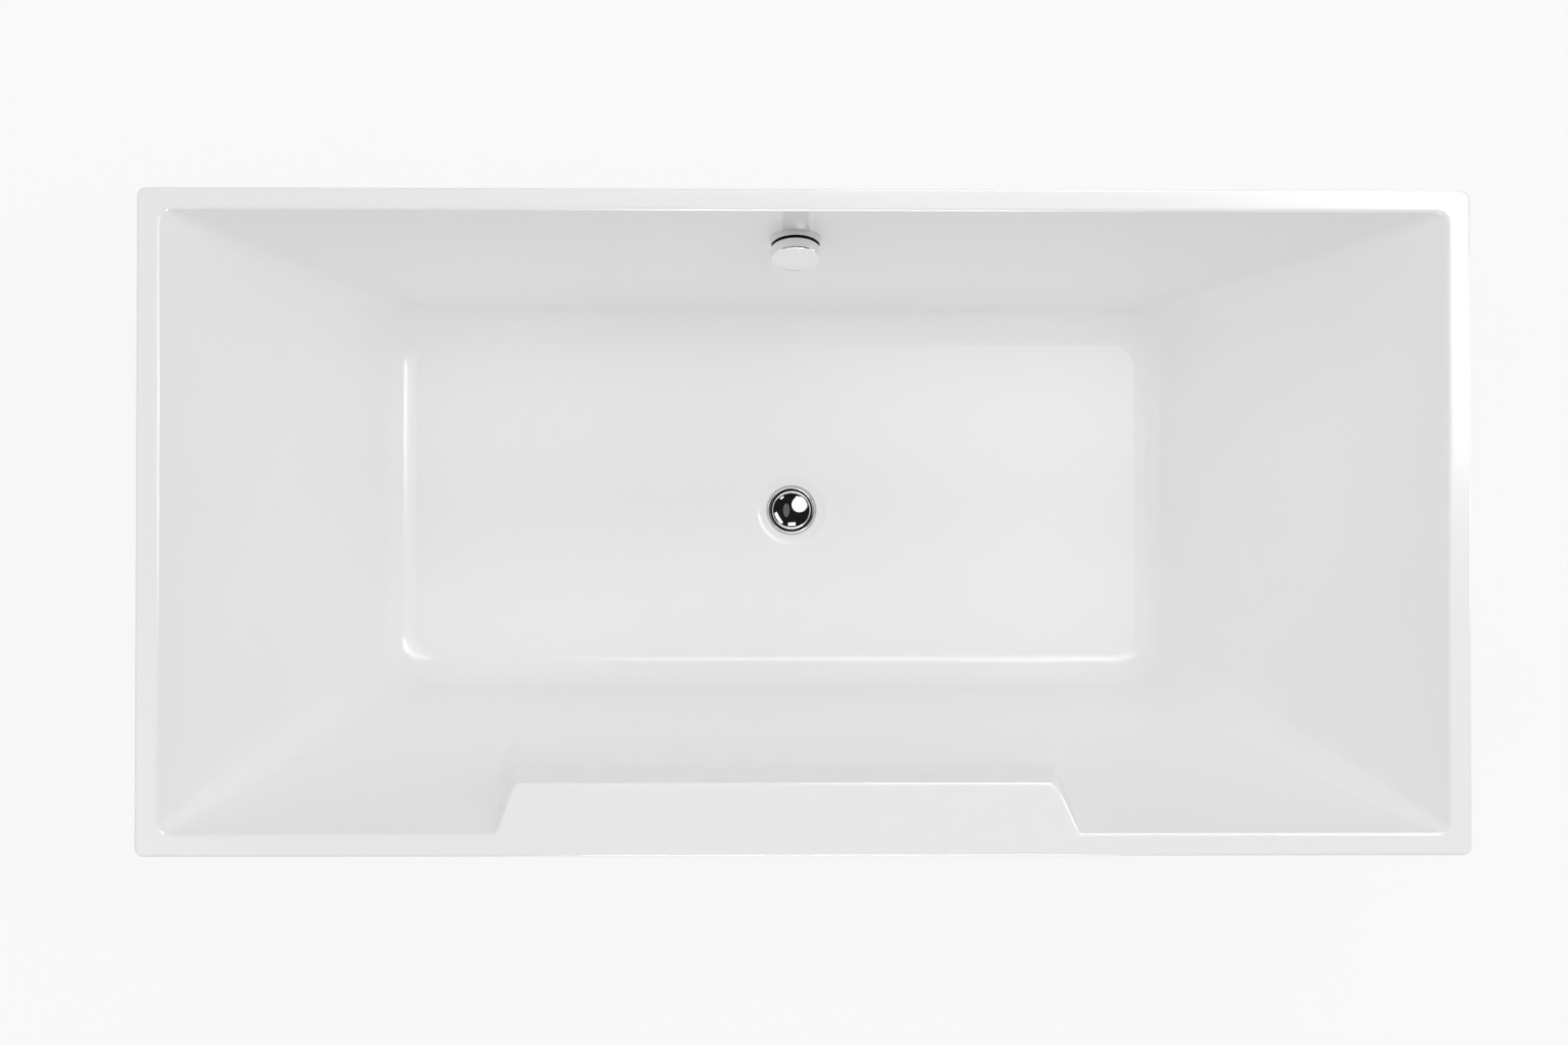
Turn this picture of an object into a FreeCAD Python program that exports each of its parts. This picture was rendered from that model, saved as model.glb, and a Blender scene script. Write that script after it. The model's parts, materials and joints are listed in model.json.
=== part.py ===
import FreeCAD, Part
import math
import os

# Free-standing rectangular acrylic bathtub, in millimetres.
# X runs along the tub, +Y points to the wall with the overflow, +Z is up.
# The origin is on the floor, under the middle of the rim.

Vector = FreeCAD.Vector
UP = Vector(0, 0, 1)
DOWN = Vector(0, 0, -1)
ALONG_X = Vector(1, 0, 0)
ALONG_Y = Vector(0, 1, 0)

# Basin and rim
LENGTH = 1700.0
WIDTH = 850.0
RIM_WIDTH = 28.0
RIM_OUTER_RADIUS = 12.0
RIM_EDGE_ROUND = 4.0
LIP_DROP = 30.0
SHEET = 5.0
BACKING = 3.0
BASIN_DEPTH = 440.0
LEFT_RUN = 245.0
RIGHT_RUN = 315.0
FRONT_RUN = 200.0
BACK_RUN = 125.0
FLOOR_FILLET = 60.0
CREASE = math.radians(10)
RIM_CORNER = 18.0
WALL_FOOT_CORNER = 70.0
FLOOR_CORNER = 33.0
FILLET_SECTIONS = 7
CUT_MARGIN = 20.0

# Ledge on the front wall, level with the rim
LEDGE_WIDTH = 66.0
LEDGE_LEFT = 370.0
LEDGE_RIGHT = 318.0
LEDGE_LEFT_SLANT = 24.0
LEDGE_RIGHT_SLANT = 31.0
LEDGE_CORNER = 20.0
LEDGE_DRAFT = math.radians(1.5)
LEDGE_END_DRAFT = math.radians(10)

# Skirt
BEAD = 1.0
BEAD_HEIGHT = 15.0
SKIRT_WALL = 4.0
SKIRT_TOP_GAP = 1.0
SKIRT_SIDE_TAPER = 4.0
SKIRT_END_TAPER = 40.0
SKIRT_FLOOR_GAP = 10.0
SKIRT_FLANGE = 25.0
SKIRT_RADIUS = 9.0

# Base board and steel frame
BOARD_THICKNESS = 18.0
BOARD_INSET = 20.0
BOARD_HOLE_CLEARANCE = 12.0
RAIL_SIZE = 30.0
RAIL_WALL = 2.0
RAIL_EDGE_INSET = 64.5
RAIL_END_INSET = 27.0
CROSS_RAIL_INSET = 90.0
MIDDLE_RAIL_SHARE = 0.32
CROSS_RAIL_OVERLAP = 2.0
SCREW_RADIUS = 2.5
SCREW_CLEARANCE = 0.25
SCREW_HEAD_RADIUS = 5.0
SCREW_HEAD_HEIGHT = 3.0
BOARD_SCREW_BITE = 12.0
BOARD_SCREW_OFFSET = 60.0

# Brackets between the frame and the foot of the skirt
BRACKET_WIDTH = 40.0
BRACKET_PLATE = 3.0
BRACKET_FOOT = 15.0

# Levelling feet
FOOT_INSET = 62.0
STUD_RADIUS = 6.0
STUD_ABOVE_NUT = 16.0
STUD_HOLE_CLEARANCE = 0.3
THREAD_CLEARANCE = 0.1
NUT_FLATS = 19.0
WELD_NUT_HEIGHT = 10.0
LOCK_NUT_HEIGHT = 7.0
PAD_RADIUS = 25.0
PAD_NECK_RADIUS = 14.0
PAD_BASE_HEIGHT = 7.0
PAD_HEIGHT = 16.0
PAD_SOCKET_FLOOR = 6.0
PAD_CLEARANCE = 0.05

# Waste
DRAIN_X = -12.0
DRAIN_Y = 22.0
DISH_RADIUS = 49.0
DISH_DEPTH = 4.0
DRAIN_HOLE_RADIUS = 26.0
UPPER_GASKET = 1.0
LOWER_GASKET = 2.0
WASTE_FLANGE_RADIUS = 36.0
WASTE_FLANGE_THICKNESS = 3.0
WASTE_BORE_RADIUS = 20.0
WASTE_NECK_RADIUS = 24.0
WASTE_NECK_LENGTH = 28.0
WASTE_NECK_ROOM = 1.0
BODY_FLANGE_RADIUS = 38.0
BODY_FLANGE_THICKNESS = 4.0
CHAMBER_RADIUS = 25.0
BODY_WALL = 3.5
OUTLET_CLEARANCE = 12.0
OUTLET_RADIUS = 20.0
OUTLET_WALL = 3.0
OUTLET_LENGTH = 22.0
OUTLET_CONE = 8.0
PORT_RISE = 20.0
PORT_WALL = 4.0
PORT_REACH = 62.0
PIPE_INSERTION = 26.0
RUNNING_FIT = 0.05

# Plug and its lift lever
PLUG_RADIUS = 32.5
PLUG_EDGE = 2.0
PLUG_DOME = 7.0
PLUG_SEAL_THICKNESS = 1.7
PLUG_SEAL_GAP = 0.3
PLUG_SEAL_RADIUS = 27.0
PLUG_BOSS_RADIUS = 14.0
PLUG_BOSS_DROP = 6.0
PLUG_LIFT = 8.0
STEM_RADIUS = 4.0
GUIDE_HUB_RADIUS = 8.0
GUIDE_RIB = 5.0
GUIDE_HEIGHT = 8.0
GUIDE_CLEARANCE = 21.0
NECK_CLEARANCE = 10.0
LEVER_PIN_OFFSET = 16.0
LEVER_ABOVE_PORT = 14.0
LEVER_PIN_RADIUS = 2.5
LEVER_HUB_RADIUS = 5.5
LEVER_WIDTH = 9.0
LEVER_ARM_WIDTH = 7.0
LEVER_ARM_THICKNESS = 4.0
LEVER_PIN_RECESS = 1.0
LEVER_NOSE_RADIUS = 3.0
LEVER_UPPER_ARM = 14.0
LEVER_STEM_GAP = 0.3

# Overflow and knob
OVERFLOW_DEPTH_SHARE = 0.2227
KNOB_TILT = math.radians(20)
OVERFLOW_HOLE_RADIUS = 26.0
OVERFLOW_SEAL = 2.0
HOUSING_RADIUS = 34.0
HOUSING_DEPTH = 18.0
HOUSING_WALL = 3.0
BASE_RING_RADIUS = 33.5
BASE_RING_WALL = 5.0
BASE_RING_DEPTH = 14.0
BASE_RING_WEB = 6.0
BASE_RING_SLOT = 34.0
BASE_RING_SLOT_HEIGHT = 6.0
SCREW_SINK = 3.3
KNOB_GAP = 1.2
KNOB_RADIUS = 32.5
KNOB_THICKNESS = 17.0
KNOB_EDGE_ROUND = 2.0
KNOB_BORE_DEPTH = 11.0
SPINDLE_RADIUS = 5.0
DRUM_RADIUS = 10.0
DRUM_THICKNESS = 6.0
DRUM_GROOVE_RADIUS = 7.5
DRUM_GROOVE_WIDTH = 2.0
DRUM_START = 10.0
SPINDLE_TAIL = 2.0
OVERFLOW_SCREW_OFFSET = 20.0
OVERFLOW_BOSS_RADIUS = 5.0
OVERFLOW_BOSS_START = 12.0
OVERFLOW_SCREW_BITE = 7.0

# Overflow pipe
PIPE_RADIUS = 12.5
PIPE_WALL = 2.0
PIPE_BEND = 70.0
PIPE_FIT = 0.1
PIPE_WALL_CLEARANCE = 1.5
SOCKET_WALL = 2.0
SOCKET_LENGTH = 28.0
SOCKET_STOP = 6.0
CLIP_BAND = 1.5
CLIP_HEIGHT = 9.0
PIPE_NUT_WALL = 3.0
PIPE_NUT_LENGTH = 18.0
PIPE_NUT_LIP = 3.0
WASHER_LENGTH = 4.0

# Control cable
CABLE_RADIUS = 3.0
CABLE_SIDE = 24.0
CABLE_FORWARD = 3.0
CABLE_BEND = 70.0
CABLE_RUN_BEFORE_SWERVE = 30.0
CABLE_SEAT = 5.0
CABLE_END_INSET = 2.0
GLAND_RADIUS = 5.0
GLAND_HEX_FLATS = 13.0
GLAND_HEX_LENGTH = 6.0
GLAND_SHANK = 15.0
GLAND_TAIL = 6.0
GLAND_FIT = 0.05
CABLE_CLIP_WALL = 1.8
CABLE_CLIP_HEIGHT = 8.0
CABLE_CLIP_COUNT = 3
CABLE_CLIP_FIT = 0.05
CABLE_CLIP_BRIDGE = 4.0

# Levels and places worked out from the sizes above, from the outlet up to the rim
OUTLET_BOTTOM = OUTLET_CLEARANCE
OUTLET_TOP = OUTLET_BOTTOM + OUTLET_LENGTH
CHAMBER_BOTTOM = OUTLET_TOP + OUTLET_CONE
PORT_Z = CHAMBER_BOTTOM + PORT_RISE
LEVER_PIN_Z = PORT_Z + LEVER_ABOVE_PORT
CABLE_Z = LEVER_PIN_Z + LEVER_UPPER_ARM
GUIDE_BOTTOM = CABLE_Z + GUIDE_CLEARANCE
NECK_BOTTOM = GUIDE_BOTTOM + GUIDE_HEIGHT + NECK_CLEARANCE
FLANGE_UNDERSIDE = NECK_BOTTOM + WASTE_NECK_LENGTH
FLANGE_FACE = FLANGE_UNDERSIDE + WASTE_FLANGE_THICKNESS
DISH_Z = FLANGE_UNDERSIDE - UPPER_GASKET
DISH_UNDERSIDE = DISH_Z - SHEET
BODY_TOP = DISH_UNDERSIDE - LOWER_GASKET
FLOOR_Z = DISH_Z + DISH_DEPTH
HEIGHT = FLOOR_Z + BASIN_DEPTH
RIM_INNER_X = LENGTH / 2 - RIM_WIDTH
RIM_INNER_Y = WIDTH / 2 - RIM_WIDTH
FLOOR_LEFT = -(RIM_INNER_X - LEFT_RUN)
FLOOR_RIGHT = RIM_INNER_X - RIGHT_RUN
FLOOR_FRONT = -(RIM_INNER_Y - FRONT_RUN)
FLOOR_BACK = RIM_INNER_Y - BACK_RUN
SHELL_BACK = SHEET + BACKING
BOARD_TOP = FLOOR_Z - SHELL_BACK
RAIL_TOP = BOARD_TOP - BOARD_THICKNESS
CROSS_RAIL_TOP = RAIL_TOP - RAIL_SIZE
CROSS_RAIL_BOTTOM = CROSS_RAIL_TOP - RAIL_SIZE
RAIL_LEFT = FLOOR_LEFT + BOARD_INSET + RAIL_END_INSET
RAIL_RIGHT = FLOOR_RIGHT - BOARD_INSET - RAIL_END_INSET
RIGHT_RAIL_X = RAIL_RIGHT - CROSS_RAIL_INSET
CROSS_RAIL_X = {
    "left": RAIL_LEFT + CROSS_RAIL_INSET,
    "middle": DRAIN_X + (RIGHT_RAIL_X - DRAIN_X) * MIDDLE_RAIL_SHARE,
    "right": RIGHT_RAIL_X,
}
LIP_BOTTOM = HEIGHT - LIP_DROP
RIM_UNDERSIDE = HEIGHT - SHEET
SKIRT_HALF_X = LENGTH / 2 - SHEET - BEAD
SKIRT_HALF_Y = WIDTH / 2 - SHEET - BEAD
FLANGE_TOP = SKIRT_FLOOR_GAP + SKIRT_WALL
CROSS_RAIL_END = SKIRT_HALF_Y - SKIRT_SIDE_TAPER - SKIRT_FLANGE + CROSS_RAIL_OVERLAP
SKIRT_SCREW_Y = CROSS_RAIL_END + (BRACKET_PLATE + BRACKET_FOOT) / 2
FOOT_Y = CROSS_RAIL_END - FOOT_INSET
STUD_TOP = CROSS_RAIL_TOP + WELD_NUT_HEIGHT + STUD_ABOVE_NUT
CHAMBER_OUTER = CHAMBER_RADIUS + BODY_WALL
PLUG_UNDERSIDE = FLANGE_FACE + PLUG_SEAL_GAP + PLUG_SEAL_THICKNESS
LEVER_SWING = math.asin(PLUG_LIFT / 2 / LEVER_PIN_OFFSET)
STEM_BOTTOM = LEVER_PIN_Z - PLUG_LIFT / 2 + LEVER_NOSE_RADIUS + LEVER_STEM_GAP
PORT_RADIUS = PIPE_RADIUS + PIPE_FIT + PORT_WALL
PIPE_BORE = PIPE_RADIUS - PIPE_WALL


# Basic shapes

def box(x0, x1, y0, y1, z0, z1):
    return Part.makeBox(x1 - x0, y1 - y0, z1 - z0, Vector(x0, y0, z0))


def rod(radius, start, axis, length):
    return Part.makeCylinder(radius, length, start, axis)


def ring(outer, inner, start, axis, length):
    return rod(outer, start, axis, length).cut(rod(inner, start, axis, length))


def hexagon(flats, start, axis, length):
    """Hexagonal bar with the given width across flats."""
    corner_radius = flats / math.sqrt(3)
    place = FreeCAD.Placement(start, FreeCAD.Rotation(UP, axis))
    points = []
    for corner in range(7):
        angle = math.radians(60 * corner)
        point = Vector(corner_radius * math.cos(angle), corner_radius * math.sin(angle), 0)
        points.append(place.multVec(point))
    return Part.Face(Part.makePolygon(points)).extrude(axis.normalize() * length)


def hex_nut(flats, bore, start, axis, length):
    return hexagon(flats, start, axis, length).cut(rod(bore, start, axis, length))


def turned(profile, centre):
    """Solid turned about a vertical axis from (radius, height) points."""
    points = [Vector(centre.x + radius, centre.y, height) for radius, height in profile]
    face = Part.Face(Part.makePolygon(points + points[:1]))
    return face.revolve(Vector(centre.x, centre.y, 0), UP, 360)


def rounded_outline(corners, z):
    """Closed wire at height z through (x, y, radius) corners; radius 0 is sharp."""
    edges = []
    first = None
    last = None
    count = len(corners)
    for index in range(count):
        x, y, radius = corners[index]
        here = Vector(x, y, z)
        before = Vector(corners[index - 1][0], corners[index - 1][1], z)
        after = Vector(corners[(index + 1) % count][0], corners[(index + 1) % count][1], z)
        to_before = (before - here).normalize()
        to_after = (after - here).normalize()
        half_angle = to_before.getAngle(to_after) / 2
        reach = radius / math.tan(half_angle)
        start = here + to_before * reach
        end = here + to_after * reach
        if last is not None:
            edges.append(Part.LineSegment(last, start).toShape())
        if radius > 0:
            bisector = (to_before + to_after).normalize()
            middle = here + bisector * (radius / math.sin(half_angle) - radius)
            edges.append(Part.Arc(start, middle, end).toShape())
        if first is None:
            first = start
        last = end
    edges.append(Part.LineSegment(last, first).toShape())
    return Part.Wire(edges)


def rounded_rectangle(left, right, front, back, radius, z):
    corners = [(left, front, radius), (right, front, radius), (right, back, radius), (left, back, radius)]
    return rounded_outline(corners, z)


def centred_rectangle(half_x, half_y, radius, z):
    return rounded_rectangle(-half_x, half_x, -half_y, half_y, radius, z)


def prism(wire, height):
    return Part.Face(wire).extrude(UP * height)


def swept_tube(path, radius):
    """Round bar along a wire of straight runs and tangent arcs."""
    start = path.Edges[0].valueAt(path.Edges[0].FirstParameter)
    heading = path.Edges[0].tangentAt(path.Edges[0].FirstParameter)
    profile = Part.Wire(Part.makeCircle(radius, start, heading))
    return path.makePipeShell([profile], True, False)


def joined(solids):
    return solids[0].multiFuse(solids[1:])


# Basin form

def wall_run(angle):
    """Horizontal run of a wall, from the rim edge to the crease at the floor."""
    straight = BASIN_DEPTH - FLOOR_FILLET * (math.cos(CREASE) - math.sin(angle))
    curved = FLOOR_FILLET * (math.cos(angle) - math.sin(CREASE))
    return straight * math.tan(angle) + curved


def wall_angle(run):
    """Angle from the vertical of a wall with this run, found by halving."""
    low = 0.0
    high = math.radians(70)
    for halving in range(50):
        middle = (low + high) / 2
        if wall_run(middle) < run:
            low = middle
        else:
            high = middle
    return low


BACK_ANGLE = wall_angle(BACK_RUN)
STEEPEST_WALL = wall_angle(min(LEFT_RUN, RIGHT_RUN, FRONT_RUN, BACK_RUN))


def wall_inset(run, height, offset):
    """Inset from the rim edge, at a height above the floor, of a wall face moved out by offset."""
    angle = wall_angle(run)
    radius = FLOOR_FILLET + offset
    centre_height = FLOOR_FILLET * math.cos(CREASE)
    centre_inset = run + FLOOR_FILLET * math.sin(CREASE)
    if height >= centre_height - radius * math.sin(angle):
        return (BASIN_DEPTH - height) * math.tan(angle) - offset / math.cos(angle)
    return centre_inset - math.sqrt(radius ** 2 - (centre_height - height) ** 2)


def corner_radius(height, offset):
    """Corner radius of the basin: small at the rim, wide at the foot of the walls, tighter on the floor."""
    wide = RIM_CORNER + (WALL_FOOT_CORNER - RIM_CORNER) * (BASIN_DEPTH - height) / BASIN_DEPTH
    zone = FLOOR_FILLET * (math.cos(CREASE) - math.sin(STEEPEST_WALL))
    depth_share = min(1.0, max(0.0, (zone - height) / zone))
    tightening = 1 - math.sqrt(1 - depth_share ** 2)
    return wide + (FLOOR_CORNER - wide) * tightening + offset


def basin_section(height, offset):
    left = wall_inset(LEFT_RUN, height, offset) - RIM_INNER_X
    right = RIM_INNER_X - wall_inset(RIGHT_RUN, height, offset)
    front = wall_inset(FRONT_RUN, height, offset) - RIM_INNER_Y
    back = RIM_INNER_Y - wall_inset(BACK_RUN, height, offset)
    return rounded_rectangle(left, right, front, back, corner_radius(height, offset), FLOOR_Z + height)


def bowl(offset, top):
    """Inside of the basin as a solid up to height top, grown outward by offset."""
    radius = FLOOR_FILLET + offset
    centre_height = FLOOR_FILLET * math.cos(CREASE)
    first = math.acos((centre_height + offset) / radius)
    last = math.pi / 2 - STEEPEST_WALL
    sections = []
    for step in range(FILLET_SECTIONS):
        angle = first + (last - first) * step / (FILLET_SECTIONS - 1)
        sections.append(basin_section(centre_height - radius * math.cos(angle), offset))
    foot = Part.makeLoft(sections, True, False)
    walls = Part.makeLoft([sections[-1], basin_section(top, offset)], True, True)
    return foot.fuse(walls)


def ledge_section(z, offset):
    depth = HEIGHT - z
    inner = LEDGE_WIDTH - RIM_INNER_Y + depth * math.tan(LEDGE_DRAFT) - offset
    outer = -RIM_INNER_Y - RIM_WIDTH / 2
    end_growth = depth * math.tan(LEDGE_END_DRAFT) - offset
    left = -LEDGE_LEFT - end_growth
    right = LEDGE_RIGHT + end_growth
    spread = (inner - outer) / LEDGE_WIDTH
    corners = [
        (left - LEDGE_LEFT_SLANT * spread, outer, 0),
        (right + LEDGE_RIGHT_SLANT * spread, outer, 0),
        (right, inner, LEDGE_CORNER),
        (left, inner, LEDGE_CORNER),
    ]
    return rounded_outline(corners, z)


def ledge_block(offset, top):
    """Block that the ledge takes out of the basin, down past the foot of its face."""
    slope = math.tan(wall_angle(FRONT_RUN)) - math.tan(LEDGE_DRAFT)
    face_height = LEDGE_WIDTH / slope + 2 * CUT_MARGIN
    return Part.makeLoft([ledge_section(HEIGHT - face_height, offset), ledge_section(top, offset)], True, True)


def basin_form(offset):
    """The whole basin grown outward by offset; with offset 0 it is the space inside."""
    if offset == 0:
        space = bowl(0, BASIN_DEPTH + CUT_MARGIN)
        return space.cut(ledge_block(0, HEIGHT + CUT_MARGIN))
    return bowl(offset, BASIN_DEPTH).cut(ledge_block(offset, HEIGHT - offset))


def drain_point(z):
    return Vector(DRAIN_X, DRAIN_Y, z)


# Overflow directions: OVERFLOW_POINT is on the inner face of the back wall, BEHIND_WALL leaves
# the tub square to that wall, and INTO_TUB is the knob's axis.
OVERFLOW_DROP = BASIN_DEPTH * OVERFLOW_DEPTH_SHARE
OVERFLOW_POINT = Vector(DRAIN_X, RIM_INNER_Y - OVERFLOW_DROP * math.tan(BACK_ANGLE), HEIGHT - OVERFLOW_DROP)
BEHIND_WALL = Vector(0, math.cos(BACK_ANGLE), -math.sin(BACK_ANGLE))
INTO_TUB = Vector(0, -math.cos(KNOB_TILT), math.sin(KNOB_TILT))
OUT_OF_TUB = INTO_TUB * -1


def behind_wall(distance):
    return OVERFLOW_POINT + BEHIND_WALL * distance


def on_knob_axis(distance, side=0.0):
    """Point on the knob's axis, positive into the tub, moved sideways along X."""
    return OVERFLOW_POINT + INTO_TUB * distance + ALONG_X * side


HOUSING_START = SHELL_BACK + OVERFLOW_SEAL
HOUSING_BOTTOM = behind_wall(HOUSING_START + HOUSING_DEPTH).z - HOUSING_RADIUS * math.cos(BACK_ANGLE)
SOCKET_RADIUS = PIPE_RADIUS + PIPE_FIT + SOCKET_WALL
WALL_OUTSIDE_Y = RIM_INNER_Y - wall_inset(BACK_RUN, HOUSING_BOTTOM - FLOOR_Z, SHELL_BACK)
PIPE_Y = WALL_OUTSIDE_Y + PIPE_WALL_CLEARANCE + SOCKET_RADIUS
PIPE_TOP = HOUSING_BOTTOM - SOCKET_STOP
SOCKET_BOTTOM = HOUSING_BOTTOM - SOCKET_LENGTH
CABLE_X = DRAIN_X + CABLE_SIDE
CABLE_Y = PIPE_Y - CABLE_FORWARD


# Basin, backing and skirt

def overflow_hole():
    return rod(OVERFLOW_HOLE_RADIUS, behind_wall(-CUT_MARGIN), BEHIND_WALL, 2 * CUT_MARGIN)


def basin_shell():
    rim = prism(centred_rectangle(LENGTH / 2, WIDTH / 2, RIM_OUTER_RADIUS, LIP_BOTTOM), LIP_DROP)
    top_edges = [edge for edge in rim.Edges if edge.BoundBox.ZMin > LIP_BOTTOM + LIP_DROP / 2]
    rim = rim.makeFillet(RIM_EDGE_ROUND, top_edges)
    under_rim = prism(lip_inner_outline(LIP_BOTTOM), LIP_DROP - SHEET)
    dish_back = rod(DISH_RADIUS + SHEET, drain_point(DISH_UNDERSIDE), UP, DISH_DEPTH + SHEET)
    shell = joined([rim.cut(under_rim), basin_form(SHEET), dish_back])
    shell = shell.cut(basin_form(0))
    shell = shell.cut(rod(DISH_RADIUS, drain_point(DISH_Z), UP, DISH_DEPTH))
    shell = shell.cut(rod(DRAIN_HOLE_RADIUS, drain_point(DISH_UNDERSIDE), UP, SHEET))
    return shell.cut(overflow_hole())


def lip_inner_outline(z):
    return centred_rectangle(LENGTH / 2 - SHEET, WIDTH / 2 - SHEET, RIM_OUTER_RADIUS - SHEET, z)


def fibreglass_backing():
    layer = basin_form(SHELL_BACK).cut(basin_form(SHEET))
    above = box(-LENGTH / 2, LENGTH / 2, -WIDTH / 2, WIDTH / 2, RIM_UNDERSIDE, HEIGHT + CUT_MARGIN)
    dish = rod(DISH_RADIUS + SHEET, drain_point(BOARD_TOP), UP, SHELL_BACK)
    return layer.cut(above).cut(dish).cut(overflow_hole())


def skirt_outline(z, inset):
    """Skirt outline at height z, drawn in by inset; it narrows from the lip to the floor."""
    share = (LIP_BOTTOM - z) / (LIP_BOTTOM - SKIRT_FLOOR_GAP)
    half_x = SKIRT_HALF_X - SKIRT_END_TAPER * share - inset
    half_y = SKIRT_HALF_Y - SKIRT_SIDE_TAPER * share - inset
    return centred_rectangle(half_x, half_y, SKIRT_RADIUS - inset, z)


def skirt_form(bottom, inset):
    taper = Part.makeLoft([skirt_outline(bottom, inset), skirt_outline(LIP_BOTTOM, inset)], True, True)
    collar = prism(skirt_outline(LIP_BOTTOM, inset), LIP_DROP - SHEET - SKIRT_TOP_GAP)
    return taper.fuse(collar)


def skirt():
    half_x = SKIRT_HALF_X - SKIRT_END_TAPER - SKIRT_FLANGE
    half_y = SKIRT_HALF_Y - SKIRT_SIDE_TAPER - SKIRT_FLANGE
    opening = prism(centred_rectangle(half_x, half_y, SKIRT_RADIUS, SKIRT_FLOOR_GAP), SKIRT_WALL)
    shell = skirt_form(SKIRT_FLOOR_GAP, 0).cut(skirt_form(FLANGE_TOP, SKIRT_WALL)).cut(opening)
    return shell.cut(Part.makeCompound(skirt_screw_shanks(SCREW_RADIUS + SCREW_CLEARANCE)))


def adhesive_bead():
    bottom = LIP_BOTTOM + (LIP_DROP - SHEET - BEAD_HEIGHT) / 2
    outside = prism(lip_inner_outline(bottom), BEAD_HEIGHT)
    inside = prism(centred_rectangle(SKIRT_HALF_X, SKIRT_HALF_Y, SKIRT_RADIUS, bottom), BEAD_HEIGHT)
    return outside.cut(inside)


# Base board, frame and brackets

def screw(seat, axis, length):
    """Round-headed screw: the head stands in front of seat, the shank runs along axis."""
    head = rod(SCREW_HEAD_RADIUS, seat - axis * SCREW_HEAD_HEIGHT, axis, SCREW_HEAD_HEIGHT)
    return head.fuse(rod(SCREW_RADIUS, seat, axis, length))


def rail_lines():
    inset = BOARD_INSET + RAIL_EDGE_INSET
    return {"front": FLOOR_FRONT + inset, "back": FLOOR_BACK - inset}


def board_screw_points():
    points = []
    for y in rail_lines().values():
        for x in CROSS_RAIL_X.values():
            for side in (-1, 1):
                points.append(Vector(x + side * BOARD_SCREW_OFFSET, y, CROSS_RAIL_TOP))
    return points


def board_screw_holes():
    length = RAIL_SIZE + BOARD_SCREW_BITE
    return Part.makeCompound(
        [rod(SCREW_RADIUS + SCREW_CLEARANCE, point, UP, length) for point in board_screw_points()])


def base_board():
    outline = rounded_rectangle(FLOOR_LEFT + BOARD_INSET, FLOOR_RIGHT - BOARD_INSET, FLOOR_FRONT + BOARD_INSET,
                                FLOOR_BACK - BOARD_INSET, FLOOR_CORNER, RAIL_TOP)
    hole_radius = DISH_RADIUS + SHEET + BOARD_HOLE_CLEARANCE
    board = prism(outline, BOARD_THICKNESS).cut(rod(hole_radius, drain_point(RAIL_TOP), UP, BOARD_THICKNESS))
    return board.cut(board_screw_holes())


def frame_rail(y):
    half = RAIL_SIZE / 2
    bore = half - RAIL_WALL
    outer = box(RAIL_LEFT, RAIL_RIGHT, y - half, y + half, CROSS_RAIL_TOP, RAIL_TOP)
    inner = box(RAIL_LEFT, RAIL_RIGHT, y - bore, y + bore, CROSS_RAIL_TOP + RAIL_WALL, RAIL_TOP - RAIL_WALL)
    return outer.cut(inner).cut(board_screw_holes())


def cross_rail(x):
    half = RAIL_SIZE / 2
    bore = half - RAIL_WALL
    end = CROSS_RAIL_END
    rail = box(x - half, x + half, -end, end, CROSS_RAIL_BOTTOM, CROSS_RAIL_TOP)
    inner = box(x - bore, x + bore, -end, end, CROSS_RAIL_BOTTOM + RAIL_WALL, CROSS_RAIL_TOP - RAIL_WALL)
    rail = rail.cut(inner)
    for y in (-FOOT_Y, FOOT_Y):
        rail = rail.cut(rod(STUD_RADIUS + STUD_HOLE_CLEARANCE, Vector(x, y, CROSS_RAIL_BOTTOM), UP, RAIL_SIZE))
    return rail


def board_screws():
    length = RAIL_SIZE + BOARD_SCREW_BITE
    return Part.makeCompound([screw(point, UP, length) for point in board_screw_points()])


def skirt_screw_points():
    points = []
    for x in CROSS_RAIL_X.values():
        for side in (-1, 1):
            points.append(Vector(x, side * SKIRT_SCREW_Y, FLANGE_TOP + BRACKET_PLATE))
    return points


def skirt_screw_shanks(radius):
    length = BRACKET_PLATE + SKIRT_WALL
    return [rod(radius, point, DOWN, length) for point in skirt_screw_points()]


def skirt_screws():
    length = BRACKET_PLATE + SKIRT_WALL
    return Part.makeCompound([screw(point, DOWN, length) for point in skirt_screw_points()])


def skirt_bracket(x, side):
    half = BRACKET_WIDTH / 2
    start = CROSS_RAIL_END
    leg = box(x - half, x + half, start, start + BRACKET_PLATE, FLANGE_TOP, CROSS_RAIL_TOP)
    foot_end = start + BRACKET_PLATE + BRACKET_FOOT
    foot = box(x - half, x + half, start, foot_end, FLANGE_TOP, FLANGE_TOP + BRACKET_PLATE)
    bracket = leg.fuse(foot)
    if side < 0:
        bracket = bracket.mirror(Vector(0, 0, 0), ALONG_Y)
    return bracket.cut(Part.makeCompound(skirt_screw_shanks(SCREW_RADIUS + SCREW_CLEARANCE)))


def skirt_brackets():
    return Part.makeCompound([skirt_bracket(x, side) for x in CROSS_RAIL_X.values() for side in (-1, 1)])


# Levelling feet

def foot_points():
    points = {}
    for place, x in CROSS_RAIL_X.items():
        points["front_" + place] = Vector(x, -FOOT_Y, 0)
        points["back_" + place] = Vector(x, FOOT_Y, 0)
    return points


def foot_stud(point):
    start = point + UP * PAD_SOCKET_FLOOR
    return rod(STUD_RADIUS, start, UP, STUD_TOP - PAD_SOCKET_FLOOR)


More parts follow.
